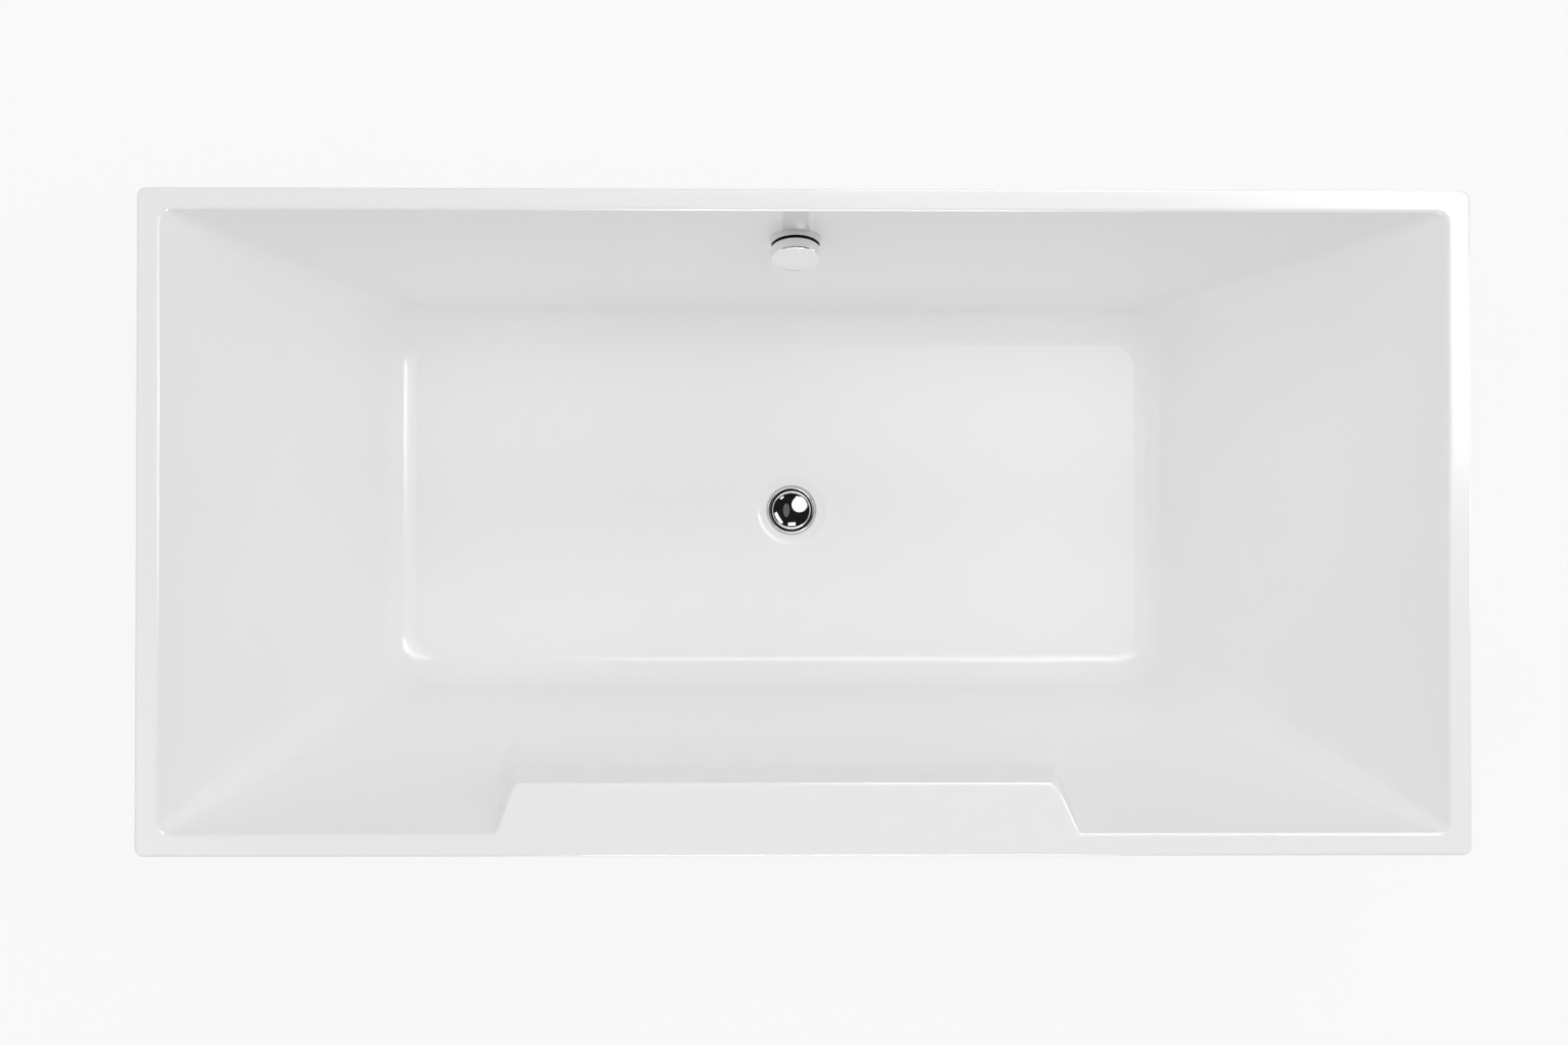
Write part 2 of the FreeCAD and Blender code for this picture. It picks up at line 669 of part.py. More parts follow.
def foot_pad(point):
    profile = [
        (0, 0),
        (PAD_RADIUS, 0),
        (PAD_RADIUS, PAD_BASE_HEIGHT),
        (PAD_NECK_RADIUS, PAD_HEIGHT),
        (0, PAD_HEIGHT),
    ]
    socket = rod(STUD_RADIUS + PAD_CLEARANCE, point + UP * PAD_SOCKET_FLOOR, UP, PAD_HEIGHT)
    return turned(profile, point).cut(socket)


def foot_nuts(bottom, height):
    bore = STUD_RADIUS + THREAD_CLEARANCE
    nuts = [hex_nut(NUT_FLATS, bore, point + UP * bottom, UP, height) for point in foot_points().values()]
    return Part.makeCompound(nuts)


# Waste

def waste_flange():
    profile = [
        (WASTE_BORE_RADIUS, NECK_BOTTOM),
        (WASTE_NECK_RADIUS, NECK_BOTTOM),
        (WASTE_NECK_RADIUS, FLANGE_UNDERSIDE),
        (WASTE_FLANGE_RADIUS, FLANGE_UNDERSIDE),
        (WASTE_FLANGE_RADIUS, FLANGE_FACE),
        (WASTE_BORE_RADIUS, FLANGE_FACE),
    ]
    return turned(profile, drain_point(0))


def upper_gasket():
    return ring(WASTE_FLANGE_RADIUS, DRAIN_HOLE_RADIUS, drain_point(DISH_Z), UP, UPPER_GASKET)


def lower_gasket():
    return ring(BODY_FLANGE_RADIUS, DRAIN_HOLE_RADIUS, drain_point(BODY_TOP), UP, LOWER_GASKET)


def waste_body_tube():
    """Flange, threaded collar, chamber, cone and outlet spigot, turned about the drain's axis."""
    collar_bore = WASTE_NECK_RADIUS + THREAD_CLEARANCE
    collar_bottom = NECK_BOTTOM - WASTE_NECK_ROOM
    outlet_bore = OUTLET_RADIUS - OUTLET_WALL
    flange_bottom = BODY_TOP - BODY_FLANGE_THICKNESS
    profile = [
        (collar_bore, BODY_TOP),
        (collar_bore, collar_bottom),
        (CHAMBER_RADIUS, collar_bottom),
        (CHAMBER_RADIUS, CHAMBER_BOTTOM),
        (outlet_bore, OUTLET_TOP),
        (outlet_bore, OUTLET_BOTTOM),
        (OUTLET_RADIUS, OUTLET_BOTTOM),
        (OUTLET_RADIUS, OUTLET_TOP),
        (CHAMBER_OUTER, CHAMBER_BOTTOM),
        (CHAMBER_OUTER, flange_bottom),
        (BODY_FLANGE_RADIUS, flange_bottom),
        (BODY_FLANGE_RADIUS, BODY_TOP),
    ]
    return turned(profile, drain_point(0))


def stem_guide():
    """Bar across the chamber with the hub that guides the plug's stem."""
    start = drain_point(GUIDE_BOTTOM)
    reach = CHAMBER_RADIUS + BODY_WALL / 2
    half = GUIDE_RIB / 2
    bar = box(DRAIN_X - reach, DRAIN_X + reach, DRAIN_Y - half, DRAIN_Y + half, GUIDE_BOTTOM,
              GUIDE_BOTTOM + GUIDE_HEIGHT)
    guide = bar.fuse(rod(GUIDE_HUB_RADIUS, start, UP, GUIDE_HEIGHT))
    return guide.cut(rod(STEM_RADIUS + RUNNING_FIT, start, UP, GUIDE_HEIGHT))


def overflow_port():
    """Side branch that takes the overflow pipe, open into the chamber."""
    branch = rod(PORT_RADIUS, drain_point(PORT_Z), ALONG_Y, PORT_REACH)
    chamber = rod(CHAMBER_RADIUS, drain_point(CHAMBER_BOTTOM), UP, GUIDE_BOTTOM - CHAMBER_BOTTOM)
    return branch.cut(chamber)


def lever_pin_point():
    return Vector(DRAIN_X, DRAIN_Y + LEVER_PIN_OFFSET, LEVER_PIN_Z)


def lever_pin_half_length():
    return math.sqrt(CHAMBER_OUTER ** 2 - LEVER_PIN_OFFSET ** 2) - LEVER_PIN_RECESS


def waste_body():
    body = joined([waste_body_tube(), stem_guide(), overflow_port()])
    socket_start = drain_point(PORT_Z) + ALONG_Y * (PORT_REACH - PIPE_INSERTION)
    body = body.cut(rod(PIPE_BORE, drain_point(PORT_Z), ALONG_Y, PORT_REACH))
    body = body.cut(rod(PIPE_RADIUS + PIPE_FIT, socket_start, ALONG_Y, PIPE_INSERTION))
    body = body.cut(rod(GLAND_RADIUS + GLAND_FIT, drain_point(CABLE_Z), ALONG_Y, CHAMBER_OUTER))
    half = lever_pin_half_length()
    pin_hole = rod(LEVER_PIN_RADIUS + RUNNING_FIT, lever_pin_point() - ALONG_X * half, ALONG_X, 2 * half)
    return body.cut(pin_hole)


def lever_pin():
    half = lever_pin_half_length()
    return rod(LEVER_PIN_RADIUS, lever_pin_point() - ALONG_X * half, ALONG_X, 2 * half)


def lift_lever():
    """Bell crank: the long arm lies under the plug's stem, the upper arm takes the cable."""
    pin = lever_pin_point()
    half = LEVER_ARM_WIDTH / 2
    thick = LEVER_ARM_THICKNESS / 2
    left = pin - ALONG_X * half
    hub = rod(LEVER_HUB_RADIUS, pin - ALONG_X * (LEVER_WIDTH / 2), ALONG_X, LEVER_WIDTH)
    long_arm = box(pin.x - half, pin.x + half, pin.y - LEVER_PIN_OFFSET, pin.y, pin.z - thick, pin.z + thick)
    nose = rod(LEVER_NOSE_RADIUS, left - ALONG_Y * LEVER_PIN_OFFSET, ALONG_X, LEVER_ARM_WIDTH)
    upper_arm = box(pin.x - half, pin.x + half, pin.y - thick, pin.y + thick, pin.z, pin.z + LEVER_UPPER_ARM)
    eye = rod(LEVER_NOSE_RADIUS, left + UP * LEVER_UPPER_ARM, ALONG_X, LEVER_ARM_WIDTH)
    lever = joined([hub, long_arm, nose, upper_arm, eye])
    bore = rod(LEVER_PIN_RADIUS + RUNNING_FIT, pin - ALONG_X * LEVER_WIDTH, ALONG_X, 2 * LEVER_WIDTH)
    lever = lever.cut(bore)
    lever.rotate(pin, ALONG_X, math.degrees(LEVER_SWING))
    return lever


# Plug

def plug_cap():
    """Domed cap with a boss below; its edge is square and its top an arc."""
    edge_top = PLUG_UNDERSIDE + PLUG_EDGE
    top = edge_top + PLUG_DOME
    dome_radius = (PLUG_RADIUS ** 2 + PLUG_DOME ** 2) / (2 * PLUG_DOME)
    mid_height = top - dome_radius + math.sqrt(dome_radius ** 2 - PLUG_RADIUS ** 2 / 4)
    base = drain_point(0)
    corners = [
        base + UP * (PLUG_UNDERSIDE - PLUG_BOSS_DROP),
        base + ALONG_X * PLUG_BOSS_RADIUS + UP * (PLUG_UNDERSIDE - PLUG_BOSS_DROP),
        base + ALONG_X * PLUG_BOSS_RADIUS + UP * PLUG_UNDERSIDE,
        base + ALONG_X * PLUG_RADIUS + UP * PLUG_UNDERSIDE,
        base + ALONG_X * PLUG_RADIUS + UP * edge_top,
    ]
    edges = list(Part.makePolygon(corners).Edges)
    dome_middle = base + ALONG_X * (PLUG_RADIUS / 2) + UP * mid_height
    edges.append(Part.Arc(corners[-1], dome_middle, base + UP * top).toShape())
    edges.append(Part.LineSegment(base + UP * top, corners[0]).toShape())
    return Part.Face(Part.Wire(edges)).revolve(base, UP, 360)


def plug_seal():
    start = drain_point(FLANGE_FACE + PLUG_SEAL_GAP)
    return ring(PLUG_SEAL_RADIUS, PLUG_BOSS_RADIUS, start, UP, PLUG_SEAL_THICKNESS)


def plug_stem():
    return rod(STEM_RADIUS, drain_point(STEM_BOTTOM), UP, PLUG_UNDERSIDE - PLUG_BOSS_DROP - STEM_BOTTOM)


# Overflow and knob

def overflow_seal():
    return ring(HOUSING_RADIUS, OVERFLOW_HOLE_RADIUS, behind_wall(SHELL_BACK), BEHIND_WALL, OVERFLOW_SEAL)


def overflow_bosses():
    """Two screw bosses inside the housing, in line with the knob's axis."""
    length = HOUSING_START + HOUSING_DEPTH
    return [rod(OVERFLOW_BOSS_RADIUS, on_knob_axis(-OVERFLOW_BOSS_START, side), OUT_OF_TUB, length)
            for side in (-OVERFLOW_SCREW_OFFSET, OVERFLOW_SCREW_OFFSET)]


def overflow_screw_holes(radius):
    length = OVERFLOW_BOSS_START + OVERFLOW_SCREW_BITE + BASE_RING_DEPTH
    return [rod(radius, on_knob_axis(BASE_RING_DEPTH, side), OUT_OF_TUB, length)
            for side in (-OVERFLOW_SCREW_OFFSET, OVERFLOW_SCREW_OFFSET)]


def overflow_housing():
    """Shallow cup behind the wall, with a socket for the pipe below and a hole for the cable gland."""
    mouth = behind_wall(HOUSING_START)
    cup = rod(HOUSING_RADIUS, mouth, BEHIND_WALL, HOUSING_DEPTH)
    bore = rod(HOUSING_RADIUS - HOUSING_WALL, mouth, BEHIND_WALL, HOUSING_DEPTH - HOUSING_WALL)
    socket_start = Vector(DRAIN_X, PIPE_Y, SOCKET_BOTTOM)
    socket = rod(SOCKET_RADIUS, socket_start, UP, SOCKET_LENGTH + HOUSING_RADIUS / 2)
    bosses = [boss.common(cup) for boss in overflow_bosses()]
    before_mouth = rod(2 * HOUSING_RADIUS, mouth, BEHIND_WALL * -1, HOUSING_RADIUS)
    above_socket = rod(PIPE_BORE, socket_start, UP, SOCKET_LENGTH + HOUSING_RADIUS / 2)
    housing = cup.fuse(socket).cut(bore).cut(above_socket).cut(before_mouth)
    housing = joined([housing] + bosses)
    housing = housing.cut(rod(PIPE_RADIUS + PIPE_FIT, socket_start, UP, PIPE_TOP - SOCKET_BOTTOM))
    housing = housing.cut(Part.makeCompound(overflow_screw_holes(SCREW_RADIUS)))
    gland_hole = rod(GLAND_RADIUS + GLAND_FIT, Vector(CABLE_X, CABLE_Y, HOUSING_BOTTOM), UP, GLAND_SHANK)
    return housing.cut(gland_hole)


def overflow_base_ring():
    """Ring between the wall and the knob, square to the knob's axis and cut to the slope of the wall."""
    start = on_knob_axis(-BASE_RING_RADIUS)
    depth = BASE_RING_RADIUS + BASE_RING_DEPTH
    body = rod(BASE_RING_RADIUS, start, INTO_TUB, depth)
    body = body.cut(rod(BASE_RING_RADIUS - BASE_RING_WALL, start, INTO_TUB, depth - BASE_RING_WEB))
    body = body.cut(rod(2 * BASE_RING_RADIUS, OVERFLOW_POINT, BEHIND_WALL, 2 * BASE_RING_RADIUS))
    body = body.cut(rod(SPINDLE_RADIUS + RUNNING_FIT, on_knob_axis(0), INTO_TUB, BASE_RING_DEPTH))
    body = body.cut(Part.makeCompound(overflow_screw_holes(SCREW_RADIUS + SCREW_CLEARANCE)))
    for side in (-OVERFLOW_SCREW_OFFSET, OVERFLOW_SCREW_OFFSET):
        face = on_knob_axis(BASE_RING_DEPTH, side)
        body = body.cut(rod(SCREW_HEAD_RADIUS + SCREW_CLEARANCE, face, OUT_OF_TUB, SCREW_SINK))
    return body.cut(water_slot())


def water_slot():
    """Slot through the underside of the base ring, where the overflow water goes in."""
    half = BASE_RING_SLOT / 2
    top = BASE_RING_DEPTH - BASE_RING_WEB
    slot = box(-half, half, -2 * BASE_RING_RADIUS, 0, top - BASE_RING_SLOT_HEIGHT, top)
    slot.Placement = FreeCAD.Placement(OVERFLOW_POINT, FreeCAD.Rotation(UP, INTO_TUB))
    return slot


def overflow_screws():
    length = OVERFLOW_BOSS_START + OVERFLOW_SCREW_BITE + BASE_RING_DEPTH - SCREW_SINK
    return Part.makeCompound(
        [screw(on_knob_axis(BASE_RING_DEPTH - SCREW_SINK, side), OUT_OF_TUB, length)
         for side in (-OVERFLOW_SCREW_OFFSET, OVERFLOW_SCREW_OFFSET)])


def knob_cap():
    back = BASE_RING_DEPTH + KNOB_GAP
    knob = rod(KNOB_RADIUS, on_knob_axis(back), INTO_TUB, KNOB_THICKNESS)
    knob = knob.makeFillet(KNOB_EDGE_ROUND, [edge for edge in knob.Edges if edge.Closed])
    return knob.cut(rod(SPINDLE_RADIUS, on_knob_axis(back), INTO_TUB, KNOB_BORE_DEPTH))


def knob_spindle():
    front = BASE_RING_DEPTH + KNOB_GAP + KNOB_BORE_DEPTH
    length = front + DRUM_START + DRUM_THICKNESS + SPINDLE_TAIL
    return rod(SPINDLE_RADIUS, on_knob_axis(front), OUT_OF_TUB, length)


def cable_drum():
    drum = ring(DRUM_RADIUS, SPINDLE_RADIUS, on_knob_axis(-DRUM_START), OUT_OF_TUB, DRUM_THICKNESS)
    groove_start = DRUM_START + (DRUM_THICKNESS - DRUM_GROOVE_WIDTH) / 2
    groove = ring(DRUM_RADIUS, DRUM_GROOVE_RADIUS, on_knob_axis(-groove_start), OUT_OF_TUB, DRUM_GROOVE_WIDTH)
    return drum.cut(groove)


# Overflow pipe and control cable

def bend(start, corner, end):
    """Quarter or shallower arc that leaves start and arrives at end, tangent to both legs of corner."""
    to_start = (start - corner).normalize()
    to_end = (end - corner).normalize()
    half_angle = to_start.getAngle(to_end) / 2
    reach = start.distanceToPoint(corner)
    radius = reach * math.tan(half_angle)
    bisector = (to_start + to_end).normalize()
    middle = corner + bisector * (radius / math.sin(half_angle) - radius)
    return Part.Arc(start, middle, end).toShape()


def pipe_path(top, bottom_end):
    """Down from the housing, round one bend, then level to the waste."""
    bend_top = Vector(top.x, top.y, bottom_end.z + PIPE_BEND)
    corner = Vector(top.x, top.y, bottom_end.z)
    bend_end = Vector(top.x, top.y - PIPE_BEND, bottom_end.z)
    return Part.Wire([
        Part.LineSegment(top, bend_top).toShape(),
        bend(bend_top, corner, bend_end),
        Part.LineSegment(bend_end, bottom_end).toShape(),
    ])


def overflow_pipe():
    port_stop = drain_point(PORT_Z) + ALONG_Y * (PORT_REACH - PIPE_INSERTION)
    path = pipe_path(Vector(DRAIN_X, PIPE_Y, PIPE_TOP), port_stop)
    return swept_tube(path, PIPE_RADIUS).cut(swept_tube(path, PIPE_BORE))


def hose_clip():
    bottom = SOCKET_BOTTOM + (SOCKET_LENGTH - SOCKET_STOP - CLIP_HEIGHT) / 2
    return ring(SOCKET_RADIUS + CLIP_BAND, SOCKET_RADIUS, Vector(DRAIN_X, PIPE_Y, bottom), UP, CLIP_HEIGHT)


def cone_washer():
    port_end = drain_point(PORT_Z) + ALONG_Y * PORT_REACH
    return ring(PORT_RADIUS, PIPE_RADIUS, port_end, ALONG_Y, WASHER_LENGTH)


def pipe_nut():
    thread = PORT_RADIUS + THREAD_CLEARANCE
    end = PORT_REACH + WASHER_LENGTH + PIPE_NUT_LIP
    start = drain_point(PORT_Z) + ALONG_Y * (end - PIPE_NUT_LENGTH)
    flats = 2 * (thread + PIPE_NUT_WALL)
    nut = hexagon(flats, start, ALONG_Y, PIPE_NUT_LENGTH)
    nut = nut.cut(rod(thread, start, ALONG_Y, PIPE_NUT_LENGTH - PIPE_NUT_LIP))
    return nut.cut(rod(PIPE_RADIUS + PIPE_FIT, start, ALONG_Y, PIPE_NUT_LENGTH))


def cable_gland(hex_end, axis, shank):
    """Gland whose shank runs along axis into a wall; the hexagon and tail stay outside."""
    back = axis * -1
    length = shank + GLAND_HEX_LENGTH + GLAND_TAIL
    gland = rod(GLAND_RADIUS, hex_end + axis * shank, back, length)
    gland = gland.fuse(hexagon(GLAND_HEX_FLATS, hex_end, back, GLAND_HEX_LENGTH))
    return gland.cut(rod(CABLE_RADIUS + GLAND_FIT, hex_end + axis * shank, back, length))


def waste_cable_gland():
    return cable_gland(drain_point(CABLE_Z) + ALONG_Y * CHAMBER_OUTER, ALONG_Y * -1, BODY_WALL)


def overflow_cable_gland():
    return cable_gland(Vector(CABLE_X, CABLE_Y, HOUSING_BOTTOM), Vector(UP), GLAND_SHANK)


def cable_path():
    """Down from the overflow gland, round a bend, sideways by two arcs, then level to the waste gland."""
    top = Vector(CABLE_X, CABLE_Y, HOUSING_BOTTOM + CABLE_SEAT)
    bend_top = Vector(CABLE_X, CABLE_Y, CABLE_Z + CABLE_BEND)
    corner = Vector(CABLE_X, CABLE_Y, CABLE_Z)
    bend_end = Vector(CABLE_X, CABLE_Y - CABLE_BEND, CABLE_Z)
    swerve_start = bend_end - ALONG_Y * CABLE_RUN_BEFORE_SWERVE
    turn = math.acos(1 - CABLE_SIDE / 2 / CABLE_BEND)
    reach = CABLE_BEND * math.tan(turn / 2)
    first_corner = swerve_start - ALONG_Y * reach
    slant = Vector(-math.sin(turn), -math.cos(turn), 0)
    swerve_middle = first_corner + slant * reach
    second_corner = swerve_middle + slant * reach
    swerve_end = second_corner - ALONG_Y * reach
    end = drain_point(CABLE_Z) + ALONG_Y * (CHAMBER_OUTER - CABLE_END_INSET)
    return Part.Wire([
        Part.LineSegment(top, bend_top).toShape(),
        bend(bend_top, corner, bend_end),
        Part.LineSegment(bend_end, swerve_start).toShape(),
        bend(swerve_start, first_corner, swerve_middle),
        bend(swerve_middle, second_corner, swerve_end),
        Part.LineSegment(swerve_end, end).toShape(),
    ])


def control_cable():
    path = cable_path()
    cable = swept_tube(path, CABLE_RADIUS)
    expected = math.pi * CABLE_RADIUS ** 2 * path.Length
    print("control cable:", round(path.Length), "mm long, volume over section times length",
          round(cable.Volume / expected, 4), "bend radius", CABLE_BEND)
    return cable


def cable_clip(z):
    """Strap that holds the cable beside the pipe."""
    pipe_centre = Vector(DRAIN_X, PIPE_Y, z)
    cable_centre = Vector(CABLE_X, CABLE_Y, z)
    half = CABLE_CLIP_BRIDGE / 2
    middle_y = (PIPE_Y + CABLE_Y) / 2
    bands = [
        rod(PIPE_RADIUS + CABLE_CLIP_WALL, pipe_centre, UP, CABLE_CLIP_HEIGHT),
        rod(CABLE_RADIUS + CABLE_CLIP_WALL, cable_centre, UP, CABLE_CLIP_HEIGHT),
        box(DRAIN_X, CABLE_X, middle_y - half, middle_y + half, z, z + CABLE_CLIP_HEIGHT),
    ]
    clip = joined(bands)
    clip = clip.cut(rod(PIPE_RADIUS + CABLE_CLIP_FIT, pipe_centre, UP, CABLE_CLIP_HEIGHT))
    return clip.cut(rod(CABLE_RADIUS + CABLE_CLIP_FIT, cable_centre, UP, CABLE_CLIP_HEIGHT))


def cable_clips():
    bottom = CABLE_Z + CABLE_BEND
    spacing = (SOCKET_BOTTOM - bottom) / (CABLE_CLIP_COUNT + 1)
    return Part.makeCompound([cable_clip(bottom + spacing * (step + 1)) for step in range(CABLE_CLIP_COUNT)])


# All nodes

def all_parts():
    parts = {
        "basin_shell": basin_shell(),
        "fibreglass_backing": fibreglass_backing(),
        "skirt": skirt(),
        "adhesive_bead": adhesive_bead(),
        "base_board": base_board(),
        "board_screws": board_screws(),
        "skirt_brackets": skirt_brackets(),
        "skirt_screws": skirt_screws(),
        "foot_weld_nuts": foot_nuts(CROSS_RAIL_TOP, WELD_NUT_HEIGHT),
        "foot_lock_nuts": foot_nuts(CROSS_RAIL_BOTTOM - LOCK_NUT_HEIGHT, LOCK_NUT_HEIGHT),
        "waste_flange": waste_flange(),
        "waste_upper_gasket": upper_gasket(),
        "waste_lower_gasket": lower_gasket(),
        "waste_body": waste_body(),
        "plug_cap": plug_cap(),
        "plug_seal": plug_seal(),
        "plug_stem": plug_stem(),
        "lift_lever": lift_lever(),
        "lever_pin": lever_pin(),
        "overflow_housing": overflow_housing(),
        "overflow_seal": overflow_seal(),
        "overflow_base_ring": overflow_base_ring(),
        "overflow_screws": overflow_screws(),
        "knob_cap": knob_cap(),
        "knob_spindle": knob_spindle(),
        "cable_drum": cable_drum(),
        "overflow_pipe": overflow_pipe(),
        "hose_clip": hose_clip(),
        "cone_washer": cone_washer(),
        "pipe_nut": pipe_nut(),
        "control_cable": control_cable(),
        "waste_cable_gland": waste_cable_gland(),
        "overflow_cable_gland": overflow_cable_gland(),
        "cable_clips": cable_clips(),
    }
    for place, y in rail_lines().items():
        parts[place + "_rail"] = frame_rail(y)
    for place, x in CROSS_RAIL_X.items():
        parts["cross_rail_" + place] = cross_rail(x)
    for place, point in foot_points().items():
        parts["foot_stud_" + place] = foot_stud(point)
        parts["foot_pad_" + place] = foot_pad(point)
    return parts


os.makedirs("parts", exist_ok=True)
for name, shape in all_parts().items():
    shape.exportStep("parts/" + name + ".step")
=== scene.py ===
import json
import math

import bpy
import numpy as np
from mathutils import Euler, Matrix, Vector


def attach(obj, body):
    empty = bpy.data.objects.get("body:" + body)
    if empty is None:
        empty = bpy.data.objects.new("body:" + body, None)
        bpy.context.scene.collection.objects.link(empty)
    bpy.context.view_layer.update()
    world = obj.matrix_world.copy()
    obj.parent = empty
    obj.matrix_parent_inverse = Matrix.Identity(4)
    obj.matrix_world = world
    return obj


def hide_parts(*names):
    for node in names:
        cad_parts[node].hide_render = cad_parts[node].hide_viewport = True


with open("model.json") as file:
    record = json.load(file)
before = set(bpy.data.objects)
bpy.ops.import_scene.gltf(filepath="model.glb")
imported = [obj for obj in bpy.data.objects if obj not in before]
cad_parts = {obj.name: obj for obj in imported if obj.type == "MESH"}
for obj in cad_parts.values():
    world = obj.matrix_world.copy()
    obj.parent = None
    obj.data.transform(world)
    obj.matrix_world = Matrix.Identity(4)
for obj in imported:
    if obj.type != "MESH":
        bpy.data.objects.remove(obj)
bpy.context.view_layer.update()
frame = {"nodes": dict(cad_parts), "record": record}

nodes = frame["nodes"]

# Sizes of the CAD model, in metres
LENGTH = 1.700
WIDTH = 0.850
HEIGHT = 0.600
RIM_WIDTH = 0.028
RIM_CORNER_OUTSIDE = 0.012
RIM_EDGE_ROUND = 0.004
LIP_BOTTOM = 0.570
BASIN_DEPTH = 0.440
RUNS = {"left": 0.245, "right": 0.315, "front": 0.200, "back": 0.125}
FILLET = 0.060
CREASE = math.radians(10)
WALL_FOOT_CORNER = 0.070
FLOOR_CORNER = 0.033
LEDGE_WIDTH = 0.066
LEDGE_LEFT = 0.370
LEDGE_RIGHT = 0.318
LEDGE_LEFT_SLANT = 0.024
LEDGE_RIGHT_SLANT = 0.031
LEDGE_DRAFT = math.radians(1.5)
LEDGE_END_DRAFT = math.radians(10)
DRAIN = Vector((-0.012, 0.022, 0.0))
DRAIN_HOLE = 0.026
OVERFLOW_HOLE = 0.026
OVERFLOW_DROP = BASIN_DEPTH * 0.2227
KNOB_TILT = math.radians(20)
KNOB_BACK = 0.0152
KNOB_RADIUS = 0.0325
KNOB_THICKNESS = 0.017
KNOB_BORE_DEPTH = 0.011
PLUG_RADIUS = 0.0325
PLUG_UNDERSIDE = 0.162
PLUG_EDGE = 0.002
PLUG_DOME = 0.007
PLUG_BOSS = 0.014
PLUG_BOSS_DROP = 0.006
SKIRT_TOP = 0.594
SKIRT_BOTTOM = 0.010
SKIRT_HALF_X = 0.844
SKIRT_HALF_Y = 0.419
SKIRT_END_TAPER = 0.040
SKIRT_SIDE_TAPER = 0.004
SKIRT_RADIUS = 0.009
SKIRT_WALL = 0.004
SKIRT_FLANGE = 0.025
# Radius and height of the waste ring: neck, underside, bevelled edge, flat top and bore
WASTE_RING_PROFILE = (
    (0.020, 0.1292), (0.0238, 0.1290), (0.024, 0.1294), (0.024, 0.157), (0.0360, 0.157), (0.0364, 0.1572),
    (0.0364, 0.1575), (0.0362, 0.1578), (0.0330, 0.15995), (0.0326, 0.160), (0.0208, 0.160), (0.020, 0.1592),
    (0.020, 0.1292))

# Finer forms than the CAD model has: edges, blends, the plug's dome and brim, the dish and the knob's cap
EDGE_ROUND = 0.005
RIM_CORNER = 0.014
RIM_CORNER_LEAST = 0.003
LIP_BEVEL = 0.0006
CREASE_BLEND = 0.012
SHEET_SHOWN = 0.0048
LEDGE_PLAN_ROUND = 0.016
LEDGE_RIM_ROUND = 0.008
LEDGE_FOOT_ROUND = 0.030
LEDGE_FOOT_DEPTH = 0.120
LEDGE_SPREAD_DEPTH = 0.2
DISH_EDGE = 0.054
DISH_SLOPE_START = 0.0535
DISH_SLOPE_WIDTH = 0.0080
DISH_SLOPE_DROP = 0.0016
DISH_BACK_DROP = 0.0088
# Radius and drop below the floor: the dish's flat, the recess of the waste ring and the drain hole
DISH_INNER_PROFILE = (
    (0.0400, 0.0016), (0.0376, 0.0016), (0.0372, 0.0018), (0.0370, 0.0022), (0.0369, 0.0034),
    (0.0365, 0.0040), (0.0300, 0.0040), (0.0264, 0.0041), (DRAIN_HOLE, 0.0046))
PLUG_DOME_EDGE = 0.0290
PLUG_ROLL = 0.0255
PLUG_ROLL_SLOPE = math.radians(37)
PLUG_BRIM_ROUND = 0.0003
PLUG_BOSS_BEVEL = 0.0004
PLUG_UNDER_BEVEL = 0.0005
KNOB_EDGE_ROUND = 0.0018
KNOB_CAP_WALL = 0.0012
KNOB_CAP_GAP = 0.0024
KNOB_CAP_LIP = 0.0005
KNOB_CAP_PLAY = 0.0002
INSERT_BORE = 0.0050
INSERT_RADIUS = KNOB_RADIUS - 0.0015
INSERT_BACK = KNOB_BACK + 0.0004
INSERT_FRONT = KNOB_BACK + KNOB_BORE_DEPTH - 0.0005
INSERT_BORE_BEVEL = 0.0003
INSERT_BEVEL = 0.0004
SKIRT_FOOT_ROUND = 0.003
SKIRT_BEVEL = 0.0006
SKIRT_RADIUS_LEAST = 0.002

FLOOR_Z = HEIGHT - BASIN_DEPTH
RIM_INNER_X = LENGTH / 2 - RIM_WIDTH
RIM_INNER_Y = WIDTH / 2 - RIM_WIDTH


# Mesh helpers

def new_piece(name, points, faces, body, material, replaced):
    """A mesh piece that rides on a CAD body and stands for the replaced nodes."""
    mesh = bpy.data.meshes.new(name)
    mesh.from_pydata([tuple(point) for point in points], [], faces)
    mesh.validate()
    mesh.update()
    mesh.polygons.foreach_set("use_smooth", [True] * len(mesh.polygons))
    piece = bpy.data.objects.new(name, mesh)
    bpy.context.scene.collection.objects.link(piece)
    mesh.materials.append(material)
    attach(piece, body)
    if replaced:
        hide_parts(*replaced)


def grid_faces(row_count, row_length):
    """Quads between rows of points, where each row is a closed loop."""
    faces = []
    for row in range(row_count - 1):
        for step in range(row_length):
            after = (step + 1) % row_length
            a = row * row_length + step
            b = row * row_length + after
            faces.append((a, a + row_length, b + row_length, b))
    return faces


def side_points(start, end, shares):
    """Points on a straight side at the given shares of its length."""
    start = np.array(start)
    end = np.array(end)
    return [start + (end - start) * share for share in shares]


def corner_points(centre, radius, first_degrees, steps):
    """Quarter circle in plan, without its last point."""
    points = []
    for step in range(steps):
        angle = math.radians(first_degrees + 90 * step / steps)
        points.append(np.array((centre[0] + radius * math.cos(angle), centre[1] + radius * math.sin(angle))))
    return points


def even(count):
    """Shares of a length at even steps, without its end."""
    return [step / count for step in range(count)]


